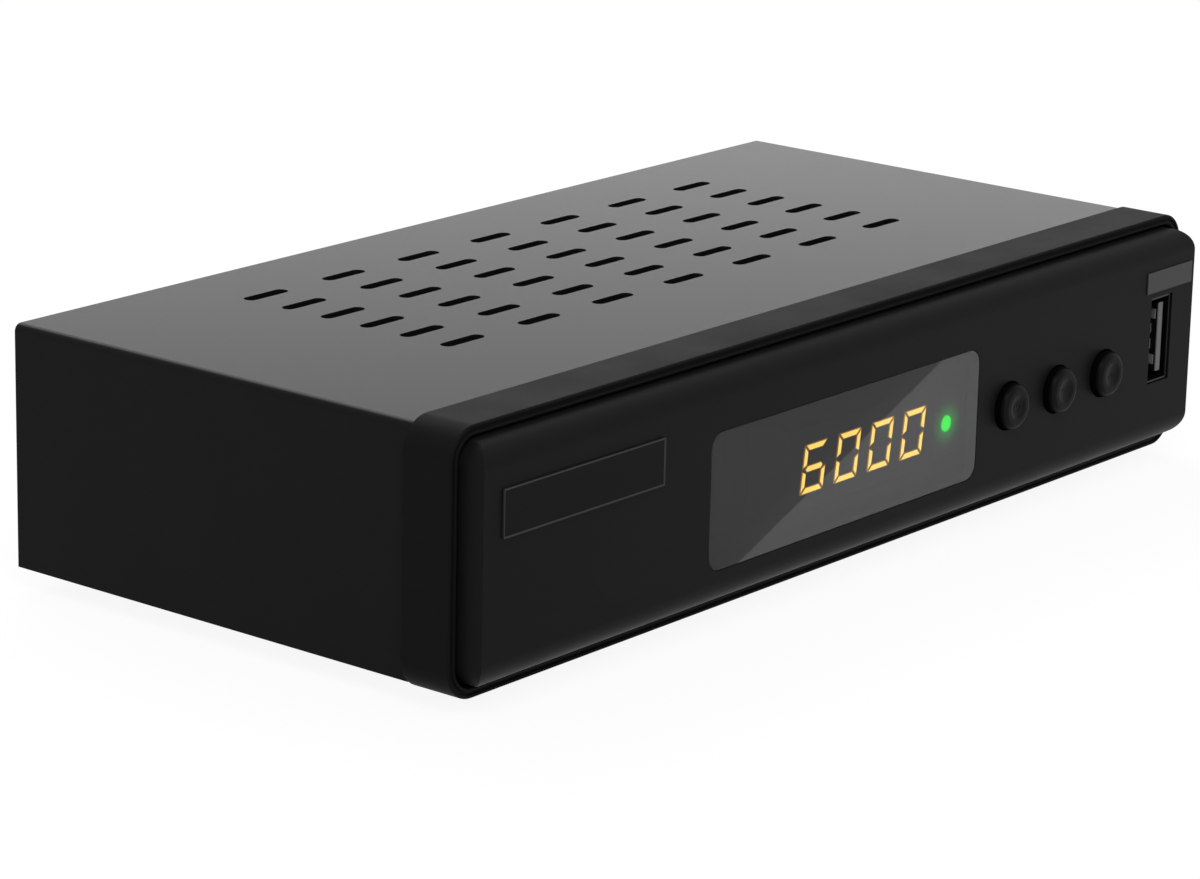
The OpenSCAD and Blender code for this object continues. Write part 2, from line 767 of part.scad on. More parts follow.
module front_bezel() {
    open_w = bezel_w - 2 * lip_w;
    open_h = bezel_h - 2 * lip_w;
    open_r = bezel_r - lip_w;
    collar_hw = tray_hw;
    color(matt) place() difference() {
        union() {
            along_y(lip_r - bezel_d, 0) translate([0, bezel_zc]) difference() {
                round_rect(bezel_w, bezel_h, bezel_r);
                round_rect(open_w, open_h, open_r);
            }
            along_y(-ledge_d, 0) translate([0, bezel_zc]) difference() {
                round_rect(bezel_w, bezel_h, bezel_r);
                square([ledge_open_w, ledge_open_h], center = true);
            }
            translate([0, lip_r - bezel_d, bezel_zc]) {
                bead(bezel_w - 2 * lip_r, bezel_h - 2 * lip_r, bezel_r - lip_r, lip_r);
                bead(open_w + 2 * lip_r, open_h + 2 * lip_r, open_r + lip_r, lip_r);
            }
            along_y(-eps, collar_d) difference() {
                translate([-collar_hw, side_lip_h + seam_gap])
                    square([2 * collar_hw, panel_top - side_lip_h - seam_gap]);
                translate([collar_t - collar_hw, 0])
                    square([2 * (collar_hw - collar_t), panel_top - collar_t]);
            }
        }
        for (s = [-1, 1])
            rod_y(s * frame_screw_x, frame_screw_z, -frame_screw_l, eps,
                  screw_r + screw_fit);
    }
}

// Side view outline of the fascia with its round top and lower edges
module fascia_side(y0, y1, z0, z1, top_r, low_r) {
    translate([y0, z0 + low_r]) square([y1 - y0, z1 - top_r - z0 - low_r]);
    translate([y0 + top_r, z1 - 2 * top_r]) square([y1 - y0 - top_r, 2 * top_r]);
    translate([y0 + low_r, z0]) square([y1 - y0 - low_r, 2 * low_r]);
    translate([y0 + top_r, z1 - top_r]) circle(top_r);
    translate([y0 + low_r, z0 + low_r]) circle(low_r);
}

// Solid fascia form, inset all round by a wall, back to y1
module fascia_form(inset, y1) {
    z0 = fascia_top - fascia_h + inset;
    intersection() {
        along_x(inset - fascia_w / 2, fascia_w / 2 - inset)
            fascia_side(face_y + inset, y1, z0, fascia_top - inset,
                        fascia_top_r - inset, fascia_low_r - inset);
        along_y(face_y, y1) translate([0, bezel_zc])
            round_rect(fascia_w - 2 * inset, fascia_h - 2 * inset, fascia_r - inset);
    }
}

// Snap hook behind the fascia's top that catches on the ledge
module snap_hook(x) {
    z1 = bezel_zc + ledge_open_h / 2 - case_gap;
    along_x(x - hook_w / 2, x + hook_w / 2)
        polygon([[wall_y - seam_gap, z1 - hook_t], [hook_t * 2, z1 - hook_t],
                 [hook_t, z1 + hook_catch], [seam_gap, z1 + hook_catch],
                 [seam_gap, z1], [wall_y - seam_gap, z1]]);
}

module fascia() {
    guide_r = cap_r_out + button_fit;
    rim_y = -(ledge_d + seam_gap);
    color(black) place() difference() {
        union() {
            difference() {
                fascia_form(0, rim_y);
                fascia_form(fascia_t, rim_y + eps);
            }
            for (x = button_x)
                rod_y(x, button_z, wall_y - seam_gap, guide_end, guide_r + guide_wall);
            for (x = boss_x, z = boss_z)
                rod_y(x, z, wall_y - seam_gap, front_board_y, boss_r);
            for (s = [-1, 1]) snap_hook(s * hook_x);
        }
        along_y(face_y - eps, wall_y + eps) {
            translate([window_x, window_z]) round_rect(window_w, window_h, window_r);
            translate([port_x, port_z]) square([port_w, port_h], center = true);
        }
        for (x = button_x) {
            rod_y(x, button_z, face_y - eps, wall_y, button_hole_r);
            rod_y(x, button_z, wall_y - eps, guide_end + eps, guide_r);
        }
        for (x = boss_x, z = boss_z)
            rod_y(x, z, front_board_y - screw_l, front_board_y + eps, screw_r + screw_fit);
    }
}

module display_window() {
    color([0.3, 0.3, 0.32, 0.6]) place() translate([window_x, 0, window_z]) {
        along_y(face_y, pane_back)
            round_rect(window_w - 2 * window_gap, window_h - 2 * window_gap,
                       window_r - window_gap);
        along_y(wall_y + seam_gap / 2, pane_back)
            round_rect(window_w + 2 * pane_lap, window_h + 2 * pane_lap, window_r);
    }
}

module badge_plate() {
    x0 = badge_inset - fascia_w / 2;
    z1 = fascia_top - badge_drop;
    color(black) place()
        block([x0, face_y - badge_t, z1 - badge_h], [x0 + badge_w, face_y, z1]);
}

module port_tag() {
    x1 = fascia_w / 2 - tag_margin;
    z0 = port_z + port_h / 2 + tag_margin;
    color(matt) place()
        block([x1 - tag_w, face_y - tag_t, z0], [x1, face_y, z0 + tag_h]);
}

// Push button with a dished face, a retaining flange and a stem
module push_button(x) {
    top = flange_y + flange_t - face_y + button_proud;
    dish_r = (pow(button_dish_r, 2) + pow(button_dish, 2)) / (2 * button_dish);
    color(black) place()
    translate([x, flange_y + flange_t, button_z]) rotate([90, 0, 0]) {
        difference() {
            rotate_extrude() {
                square([cap_r_out - button_edge_r, top]);
                square([cap_r_out, top - button_edge_r]);
                square([cap_r_out + flange_lap, flange_t]);
                translate([cap_r_out - button_edge_r, top - button_edge_r])
                    intersection() {
                        circle(button_edge_r);
                        square(button_edge_r);
                    }
            }
            translate([0, 0, top - button_dish + dish_r]) sphere(dish_r, $fn = 96);
        }
        translate([0, 0, flange_y + flange_t - stem_end])
            cylinder(h = stem_end - flange_y, r = stem_r);
    }
}

module power_button() { push_button(button_x[0]); }
module down_button() { push_button(button_x[1]); }
module up_button() { push_button(button_x[2]); }

module plunger(x) {
    color([0.85, 0.83, 0.78]) place()
        rod_y(x, button_z, plunger_tip, plunger_tip + plunger_proud + plunger_held,
              plunger_r);
}

module power_plunger() { plunger(button_x[0]); }
module down_plunger() { plunger(button_x[1]); }
module up_plunger() { plunger(button_x[2]); }

module push_switches() {
    y0 = front_board_y - switch_d;
    depth = plunger_held + press_travel + seam_gap;
    color(black) place() for (x = button_x) difference() {
        along_y(y0, front_board_y) translate([x, button_z])
            square(switch_w, center = true);
        rod_y(x, button_z, y0 - eps, y0 + depth, plunger_r + button_fit);
    }
}

module front_board() {
    color(green) place() difference() {
        block([front_board_x0, front_board_y, front_board_z],
              [front_board_x1, rear_face_y, front_board_z + front_board_h]);
        for (x = boss_x, z = boss_z)
            rod_y(x, z, front_board_y - eps, rear_face_y + eps, screw_r + screw_pass);
    }
}

module digit_block() {
    color(black) place()
        block([digit_x0 - display_rim, block_y, digit_z0 - display_rim],
              [digit_x0 + digit_span + display_rim, front_board_y,
               digit_z0 + digit_h + display_rim]);
}

// Slanted point of a digit
function lean(p) = [p[0] + p[1] * tan(digit_slant), p[1]];

// Outlines of a digit's bars in the order "abcdefg", mitred where they meet
function bar_outlines(w, h, s, gap) = let (m = h / 2, k = gap / sqrt(2)) [
    [[k, h], [w - k, h], [w - s - k, h - s], [s + k, h - s]],
    [[w, h - k], [w, m + k], [w - s, m + s / 2 + k], [w - s, h - s - k]],
    [[w, m - k], [w, k], [w - s, s + k], [w - s, m - s / 2 - k]],
    [[k, 0], [s + k, s], [w - s - k, s], [w - k, 0]],
    [[0, m - k], [s, m - s / 2 - k], [s, s + k], [0, k]],
    [[0, h - k], [s, h - s - k], [s, m + s / 2 + k], [0, m + k]],
    [[s / 2 + k, m], [s + k, m + s / 2], [w - s - k, m + s / 2],
     [w - s / 2 - k, m], [w - s - k, m - s / 2], [s + k, m - s / 2]]
];

// Bars of one digit whose places in "abcdefg" are listed
module digit_bars(bars) {
    outlines = bar_outlines(digit_w, digit_h, segment_w, segment_gap);
    for (i = bars) polygon([for (p = outlines[i]) lean(p)]);
}

// Bars of the four digits, on the face of the digit block
module display_bars(digits) {
    along_y(block_y - segment_t, block_y) for (i = [0 : 3])
        translate([digit_x0 + i * digit_pitch, digit_z0]) digit_bars(digits[i]);
}

module lit_segments() {
    color([1, 0.78, 0.3]) place() display_bars([six, zero, zero, zero]);
}

module dark_segments() {
    color(matt) place() display_bars([[1], [6], [6], [6]]);
}

module status_light() {
    color([0.2, 1, 0.35]) place()
        rod_y(window_x + led_x, window_z - led_low, block_y - segment_t, block_y + led_l, led_r);
}

module light_spacer() {
    color(matt) place()
        rod_y(window_x + led_x, window_z - led_low, block_y + led_l, front_board_y,
              led_r + led_spacer_wall);
}

module remote_eye() {
    color(black) place() translate([window_x - eye_x, 0, window_z]) {
        along_y(front_board_y - eye_d, front_board_y) square([eye_w, eye_h], center = true);
        translate([0, front_board_y - eye_d, 0]) rotate([90, 0, 0]) rotate_extrude()
            intersection() {
                circle(eye_r);
                square(eye_r);
            }
    }
}

module port_shell() {
    spring = [port_shell_t, port_spring_l, port_spring_w];
    color(steel) place() translate([port_x, 0, port_z]) {
        along_y(port_mouth, front_board_y) difference() {
            square(port_out, center = true);
            square(port_in, center = true);
        }
        for (s = [-1, 1])
            translate([-port_in[0] / 2, port_mouth + port_spring_back,
                       s * port_in[1] / 4 - spring[2] / 2])
                cube(spring);
    }
}

module port_tongue() {
    x1 = port_x + port_in[0] / 2 - port_tongue_gap;
    fit = port_in - [port_gap, port_gap];
    color([0.9, 0.9, 0.88]) place() {
        block([x1 - port_tongue_t, port_mouth + port_tongue_back, port_z - port_tongue_h / 2],
              [x1, front_board_y, port_z + port_tongue_h / 2]);
        along_y(front_board_y - port_back_t, front_board_y) translate([port_x, port_z])
            square(fit, center = true);
    }
}

module port_contacts() {
    x0 = port_x + port_in[0] / 2 - port_tongue_gap - port_tongue_t;
    tip = port_mouth + port_tongue_back;
    color(gold) place() for (i = [-1.5 : 1.5]) {
        y0 = tip + (abs(i) > 1 ? port_contact_lead : port_contact_back);
        z0 = port_z + i * port_contact_pitch - port_contact_w / 2;
        block([x0 - port_contact_t, y0, z0],
              [x0, front_board_y - port_back_t, z0 + port_contact_w]);
    }
}

module ribbon_cable() {
    color([0.55, 0.55, 0.58]) place()
    translate([ribbon_x, rear_face_y + plug_h, board_z1 + plug_h])
        rotate([0, -90, 0]) rotate_extrude(angle = 90)
            for (i = [0 : ribbon_wires - 1])
                translate([ribbon_bend, (i - (ribbon_wires - 1) / 2) * ribbon_pitch])
                    circle(ribbon_r);
}

module ribbon_plugs() {
    color([0.88, 0.87, 0.82]) place() translate([ribbon_x, 0, 0]) {
        block([-plug_w / 2, rear_face_y, ribbon_z - plug_t / 2],
              [plug_w / 2, rear_face_y + plug_h, ribbon_z + plug_t / 2]);
        block([-plug_w / 2, ribbon_y - plug_t / 2, board_z1],
              [plug_w / 2, ribbon_y + plug_t / 2, board_z1 + plug_h]);
    }
}

module main_board() {
    color(green) place() difference() {
        block([-board_hw, board_front, board_z0], [board_hw, board_y1, board_z1]);
        for (s = [-1, 1], y = hole_y) translate([s * hole_x, y, board_z0 - eps])
            cylinder(h = board_t + 2 * eps, r = screw_r + screw_pass);
    }
}

module tuner_can() {
    lap = tuner_lid_t;
    low = [row_x[4] - tuner_w / 2, socket_y - tuner_d, board_z1];
    high = [row_x[4] + tuner_w / 2, socket_y, board_z1 + tuner_h];
    color(steel) place() {
        block(low + [lap, lap, 0], high - [lap, lap, 0]);
        block([low[0], low[1], high[2] - tuner_lid_h], high);
    }
}

module aerial_in_shell() {
    color(steel) place() difference() {
        rod_y(aerial_x[1], axis_z, socket_y, aerial_y1, aerial_r + aerial_wall);
        rod_y(aerial_x[1], axis_z, socket_y + aerial_wall, aerial_y1 + eps, aerial_r);
    }
}

module aerial_in_contact() {
    color(gold) place() difference() {
        rod_y(aerial_x[1], axis_z, socket_y + aerial_wall, aerial_y1 - aerial_tube_back,
              aerial_pin_r + aerial_tube_wall);
        rod_y(aerial_x[1], axis_z, socket_y + 2 * aerial_wall, aerial_y1, aerial_pin_r);
    }
}

module aerial_out_sleeve() {
    sleeve_r = aerial_r - screw_fit;
    color(steel) place() difference() {
        union() {
            rod_y(aerial_x[0], axis_z, socket_y, aerial_y1, sleeve_r);
            rod_y(aerial_x[0], axis_z, socket_y, panel_y1 + shoulder_l,
                  aerial_r + aerial_wall);
        }
        rod_y(aerial_x[0], axis_z, socket_y + aerial_wall, aerial_y1 + eps,
              sleeve_r - aerial_wall);
    }
}

module aerial_out_pin() {
    color(gold) place()
        rod_y(aerial_x[0], axis_z, socket_y + aerial_wall, aerial_y1, aerial_pin_r);
}

module av_socket() {
    y1 = panel_y1 + av_proud;
    block_w = av_open_w - 2 * av_groove;
    block_h = av_open_h - 2 * av_groove;
    color(black) place() translate([row_x[3], 0, av_z]) difference() {
        union() {
            along_y(socket_y - av_d, socket_y) square([av_w, av_h], center = true);
            along_y(socket_y - eps, y1)
                av_outline(av_open_w + 2 * av_rim, av_open_h + 2 * av_rim, av_slant);
        }
        along_y(y1 - av_groove_d, y1 + eps) difference() {
            av_outline(av_open_w, av_open_h, av_slant);
            av_outline(block_w, block_h, av_slant - av_groove);
        }
        along_y(y1 - av_groove_d, y1 + eps)
            for (s = [-1, 1], i = [1 : av_slots])
                translate([(i - (av_slots + 1) / 2) * av_slot_pitch
                           + s * av_slot_pitch / 4, s * av_row / 2])
                    square([av_slot_w, av_slot_h], center = true);
    }
}

module video_shell() {
    color(steel) place() translate([row_x[2], 0, board_z1 + video_h / 2]) difference() {
        along_y(panel_y1 + video_proud - video_d, panel_y1 + video_proud)
            video_outline(video_w, video_h, video_cut);
        along_y(panel_y1 + video_proud - video_d + video_t, panel_y1 + video_proud + eps)
            video_outline(video_w - 2 * video_t, video_h - 2 * video_t, video_cut);
    }
}

module video_tongue() {
    y0 = panel_y1 + video_proud - video_d + video_t;
    base = [video_w - 2 * video_t - 2 * port_gap, video_h - 2 * video_t - 2 * port_gap];
    color(black) place() translate([row_x[2], 0, board_z1 + video_h / 2]) {
        along_y(y0, y0 + video_back_t) video_outline(base[0], base[1], video_cut);
        along_y(y0, panel_y1 + video_proud - video_tongue_back) translate([0, video_tongue_t / 2])
            square([video_tongue_w, video_tongue_t], center = true);
    }
}

module audio_jack() {
    core_r = audio_ring_r - audio_ring_wall - screw_fit;
    color([0.95, 0.55, 0.1]) place() difference() {
        union() {
            block([row_x[1] - audio_w / 2, socket_y - audio_d, board_z1],
                  [row_x[1] + audio_w / 2, socket_y, board_z1 + audio_h]);
            rod_y(row_x[1], axis_z, socket_y - eps, panel_y1 + audio_l - audio_core_back,
                  core_r);
        }
        rod_y(row_x[1], axis_z, socket_y - audio_bore_in, panel_y1 + audio_l, audio_bore_r);
    }
}

module audio_ring() {
    color(steel) place() difference() {
        union() {
            rod_y(row_x[1], axis_z, socket_y + seam_gap / 2, panel_y1 + audio_l,
                  audio_ring_r);
            rod_y(row_x[1], axis_z, socket_y + seam_gap / 2, panel_y1 + shoulder_l,
                  audio_ring_r + audio_shoulder);
        }
        rod_y(row_x[1], axis_z, socket_y - eps, panel_y1 + audio_l + eps,
              audio_ring_r - audio_ring_wall);
    }
}

module power_jack() {
    y1 = panel_y1 + power_proud;
    color(black) place() difference() {
        union() {
            block([row_x[0] - power_w / 2, socket_y - power_d, board_z1],
                  [row_x[0] + power_w / 2, socket_y, board_z1 + power_h]);
            rod_y(row_x[0], axis_z, socket_y - eps, y1, power_nose_r);
        }
        rod_y(row_x[0], axis_z, y1 - power_bore_l, y1 + eps, power_bore_r);
    }
}

module power_jack_pin() {
    y1 = panel_y1 + power_proud;
    color(steel) place()
        rod_y(row_x[0], axis_z, y1 - power_bore_l, y1 - power_pin_back, power_pin_r);
}

module processor() {
    color(black) place() translate([sink_pos[0], sink_pos[1], board_z1])
        translate([-chip_w / 2, -chip_w / 2, 0]) cube([chip_w, chip_w, chip_h]);
}

module heat_sink() {
    fin_pitch = (sink_w - fin_t) / (sink_fins - 1);
    color([0.6, 0.62, 0.64]) place()
    translate([sink_pos[0] - sink_w / 2, sink_pos[1] - sink_w / 2, board_z1 + chip_h]) {
        cube([sink_w, sink_w, sink_base]);
        for (i = [0 : sink_fins - 1]) translate([i * fin_pitch, 0, 0])
            cube([fin_t, sink_w, sink_h]);
    }
}

module memory_chips() {
    color(black) place() for (s = [-1, 1])
        translate([sink_pos[0] + s * (sink_w / 2 + memory_w) - memory_w / 2,
                   sink_pos[1] - memory_l / 2, board_z1])
            cube([memory_w, memory_l, memory_h]);
}

// Standing capacitor with a crimped groove near its foot
module capacitor() {
    difference() {
        cylinder(h = cap_h, r = cap_r);
        translate([0, 0, cap_crimp_z]) rotate_extrude() translate([cap_r, 0])
            circle(cap_crimp_r);
    }
}

module capacitors() {
    x0 = hole_x - screw_head_r - board_piece_gap - cap_r;
    y0 = board_front + cap_r + seam_gap;
    color([0.12, 0.14, 0.22]) place() {
        for (i = [0 : 2]) translate([x0 - i * cap_pitch, y0, board_z1]) capacitor();
        for (i = [0 : 1])
            translate([row_x[0] + i * cap_pitch, hole_y[1], board_z1]) capacitor();
    }
}

module power_coils() {
    coil_y = hole_y[1] - cap_r - board_piece_gap - coil_w;
    color([0.3, 0.3, 0.32]) place() for (i = [0 : 1])
        translate([row_x[0] + i * (coil_w + board_piece_gap), coil_y, board_z1]) {
            translate([-coil_w / 2, -coil_w / 2, 0]) cube([coil_w, coil_w, coil_h / 2]);
            cylinder(h = coil_h, r = coil_w / 2 - seam_gap);
        }
}

module crystal() {
    x = sink_pos[0] + sink_w / 2 + 2 * memory_w + crystal_l / 2;
    y = sink_pos[1] - sink_w / 2;
    color(steel) place() translate([x, y, board_z1])
        linear_extrude(crystal_h) stadium(crystal_l, crystal_w);
}

module cover_screws() {
    color(steel) place() for (s = [-1, 1])
        screw_from_back(s * cover_screw_x, cover_d, cover_screw_z, screw_l);
}

module board_screws() {
    color(steel) place() for (s = [-1, 1], y = hole_y)
        translate([s * hole_x, y, board_z1]) screw(screw_l);
}

module front_board_screws() {
    color(steel) place() for (x = boss_x, z = boss_z)
        screw_from_back(x, rear_face_y, z, screw_l);
}

module frame_screws() {
    color(steel) place() for (s = [-1, 1])
        screw_from_back(s * frame_screw_x, seam_gap + sheet_t, frame_screw_z,
                        frame_screw_l);
}

module rubber_feet() {
    color([0.06, 0.06, 0.06]) place()
    for (s = [-1, 1], y = [foot_inset, cover_d - foot_inset])
        translate([s * (cover_w / 2 - foot_inset), y, -foot_h]) rotate_extrude()
            polygon([[0, 0], [foot_r - foot_chamfer, 0], [foot_r, foot_chamfer],
                     [foot_r, foot_h], [0, foot_h]]);
}

top_cover();
chassis_tray();
front_bezel();
fascia();
display_window();
badge_plate();
port_tag();
power_button();
down_button();
up_button();
power_plunger();
down_plunger();
up_plunger();
push_switches();
front_board();
digit_block();
lit_segments();
dark_segments();
status_light();
light_spacer();
remote_eye();
port_shell();
port_tongue();
port_contacts();
ribbon_cable();
ribbon_plugs();
main_board();
tuner_can();
aerial_in_shell();
aerial_in_contact();
aerial_out_sleeve();
aerial_out_pin();
av_socket();
video_shell();
video_tongue();
audio_jack();
audio_ring();
power_jack();
power_jack_pin();
processor();
heat_sink();
memory_chips();
capacitors();
power_coils();
crystal();
cover_screws();
board_screws();
front_board_screws();
frame_screws();
rubber_feet();
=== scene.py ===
"""Looks of a cable television receiver, dressed on its solids.

Lengths are metres in the frame of the solids: +X to the right of the front, +Y to the back and +Z up, with
the origin on the floor under the middle of the case.
"""

import logging
import math
from dataclasses import dataclass
from enum import Enum

import bpy
from mathutils import Matrix, Vector


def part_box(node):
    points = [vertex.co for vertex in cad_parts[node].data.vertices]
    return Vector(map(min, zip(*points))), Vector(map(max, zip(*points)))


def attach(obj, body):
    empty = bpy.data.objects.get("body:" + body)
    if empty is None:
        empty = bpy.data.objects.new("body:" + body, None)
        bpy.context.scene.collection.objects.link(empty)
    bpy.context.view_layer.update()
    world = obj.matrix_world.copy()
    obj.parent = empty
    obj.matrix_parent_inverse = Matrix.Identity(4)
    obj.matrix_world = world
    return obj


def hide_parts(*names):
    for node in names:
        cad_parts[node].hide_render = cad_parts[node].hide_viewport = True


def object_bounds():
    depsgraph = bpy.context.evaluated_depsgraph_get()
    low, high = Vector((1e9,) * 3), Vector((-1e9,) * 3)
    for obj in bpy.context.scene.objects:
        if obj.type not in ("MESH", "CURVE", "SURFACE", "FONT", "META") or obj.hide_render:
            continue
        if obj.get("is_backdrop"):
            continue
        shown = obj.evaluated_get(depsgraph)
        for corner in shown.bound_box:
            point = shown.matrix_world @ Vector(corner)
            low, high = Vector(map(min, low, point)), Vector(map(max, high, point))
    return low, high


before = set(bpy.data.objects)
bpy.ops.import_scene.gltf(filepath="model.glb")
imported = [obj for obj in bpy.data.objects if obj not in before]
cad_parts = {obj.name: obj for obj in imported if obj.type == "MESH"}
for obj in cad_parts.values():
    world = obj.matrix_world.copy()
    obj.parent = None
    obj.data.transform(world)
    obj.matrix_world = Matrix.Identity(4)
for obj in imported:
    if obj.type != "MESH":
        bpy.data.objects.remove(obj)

Color = tuple[float, float, float]
Point = tuple[float, float, float]

MM = 0.001
WHITE: Color = (1.0, 1.0, 1.0)
BLACK: Color = (0.0, 0.0, 0.0)
log = logging.getLogger("receiver")

# Points closer than this are merged, and faces that bend less than this become one.
MERGE_GAP = 0.002 * MM
FLAT_ANGLE = math.radians(0.5)

# Edges that bend more than the first are rounded, and those that bend less than the second are shaded smooth.
SHARP_ANGLE = math.radians(40)
SMOOTH_ANGLE = math.radians(35)

# A face looks to the front if its normal's Y is under this.
FRONT_FACING = -0.9


class Graph:
    """A node tree that is built node by node.

    Attributes:
        LAYER_SHARE: Strength of each finer layer of noise, as a share of the layer before.
        NOISE_SPAN: The span that most values of a noise lie in.
        MIX_COLORS: Numbers of the colour mix's two inputs, whose names its other inputs share.
        MIX_RESULT: Number of the colour mix's output.
    """

    LAYER_SHARE = 0.55
    NOISE_SPAN = (0.3, 0.7)
    MIX_COLORS = (6, 7)
    MIX_RESULT = 2

    def __init__(self, tree: bpy.types.NodeTree) -> None:
        """Empties the tree.

        Args:
            tree: The tree of a material or of the world.
        """
        self.tree = tree
        self.tree.nodes.clear()

    def add(self, kind: str, inputs: dict | None = None, **settings: object) -> bpy.types.Node:
        """Adds one node.

        Args:
            kind: Blender's name of the node's type.
            inputs: Values or sockets for the node's inputs, by name or number.
            settings: Values of the node's own properties.

        Returns:
            The new node.
        """
        node = self.tree.nodes.new(kind)
        for key, value in settings.items():
            setattr(node, key, value)
        for key, value in (inputs or {}).items():
            self.feed(node.inputs[key], value)
        return node

    def feed(self, socket: bpy.types.NodeSocket, value: object) -> None:
        """Links a socket into an input, or sets the input's own value.

        Args:
            socket: The input.
            value: An output socket, or a plain value.
        """
        if isinstance(value, bpy.types.NodeSocket):
            self.tree.links.new(value, socket)
        else:
            socket.default_value = value

    def place(
        self, turn: Point = (0, 0, 0), shift: Point = (0, 0, 0), scale: Point = (1, 1, 1),
    ) -> bpy.types.NodeSocket:
        """Gives Object coordinates, scaled, turned and then shifted.

        Args:
            turn: Angles about X, Y and Z.
            shift: The move after the turn.
            scale: The scale along X, Y and Z.

        Returns:
            The vector's socket.
        """
        plain = self.add("ShaderNodeTexCoord").outputs["Object"]
        sockets = {"Vector": plain, "Rotation": turn, "Location": shift, "Scale": scale}
        return self.add("ShaderNodeMapping", sockets).outputs["Vector"]

    def noise(self, vector: bpy.types.NodeSocket, size: float, detail: float = 3.0) -> bpy.types.NodeSocket:
        """Gives noise whose cells are about size across.

        Args:
            vector: The coordinates.
            size: The width of a cell.
            detail: The number of finer layers.

        Returns:
            The noise, from 0 to 1.
        """
        sockets = {"Vector": vector, "Scale": 1 / size, "Detail": detail, "Roughness": self.LAYER_SHARE}
        return self.add("ShaderNodeTexNoise", sockets).outputs[0]

    def remap(self, value: bpy.types.NodeSocket, low: float, high: float, start: float, end: float,
              smooth: bool = False) -> bpy.types.NodeSocket:
        """Maps a value from low..high to start..end and holds it there.

        Args:
            value: The value's socket.
            low: The value that gives start.
            high: The value that gives end.
            start: The result at low.
            end: The result at high.
            smooth: Whether the way between is eased.

        Returns:
            The result's socket.
        """
        sockets = {"Value": value, "From Min": low, "From Max": high, "To Min": start, "To Max": end}
        kind = "SMOOTHSTEP" if smooth else "LINEAR"
        return self.add("ShaderNodeMapRange", sockets, interpolation_type=kind).outputs["Result"]

    def math(self, operation: str, first: object, second: object = 0.0) -> bpy.types.NodeSocket:
        """Gives the result of one sum.

        Args:
            operation: Blender's name of the operation.
            first: A socket or a number.
            second: A socket or a number.

        Returns:
            The result's socket.
        """
        return self.add("ShaderNodeMath", {0: first, 1: second}, operation=operation).outputs[0]

    def axis(self, vector: bpy.types.NodeSocket, name: str) -> bpy.types.NodeSocket:
        """Gives one of a vector's parts.

        Args:
            vector: The vector's socket.
            name: X, Y or Z.

        Returns:
            The part's socket.
        """
        return self.add("ShaderNodeSeparateXYZ", {"Vector": vector}).outputs[name]

    def between(self, factor: bpy.types.NodeSocket, first: Color, second: Color) -> bpy.types.NodeSocket:
        """Mixes two colours.

        Args:
            factor: The share of the second colour.
            first: The colour at 0.
            second: The colour at 1.

        Returns:
            The mixed colour's socket.
        """
        mix = self.add("ShaderNodeMix", {0: factor}, data_type="RGBA")
        for number, color in zip(self.MIX_COLORS, (first, second)):
            self.feed(mix.inputs[number], opaque(color))
        return mix.outputs[self.MIX_RESULT]

    def bump(self, height: bpy.types.NodeSocket, depth: float) -> bpy.types.NodeSocket:
        """Turns a height into a bent normal.

        Args:
            height: The height, from 0 to 1.
            depth: The real height at 1.

        Returns:
            The normal's socket.
        """
        sockets = {"Height": height, "Distance": depth, "Strength": 1.0}
        return self.add("ShaderNodeBump", sockets).outputs["Normal"]


def opaque(color: Color) -> tuple[float, float, float, float]:
    """Gives a colour with an alpha of 1."""
    return (*color, 1.0)


def shade(color: Color, factor: float) -> Color:
    """Gives a colour made lighter or darker by a factor."""
    return tuple(part * factor for part in color)


@dataclass(frozen=True)
class Texture:
    """The grain of a surface.

    Attributes:
        size: Width of one grain.
        depth: Height of one grain.
        stretch: Scale of the pattern along X, Y and Z; a small one draws it out.
        detail: Number of finer layers in it.
    """

    size: float
    depth: float
    stretch: Point = (1, 1, 1)
    detail: float = 4.0


class Grain(Enum):
    """Grains, by the way that a surface is made."""

    POWDER = Texture(0.5 * MM, 0.006 * MM)
    SPARKED = Texture(0.25 * MM, 0.006 * MM)
    POLISHED = Texture(7 * MM, 0.004 * MM)
    ROLLED = Texture(0.35 * MM, 0.003 * MM, (0.05, 1, 1))
    TURNED = Texture(0.3 * MM, 0.003 * MM, (1, 0.05, 1))
    PRESSED = Texture(0.8 * MM, 0.01 * MM)


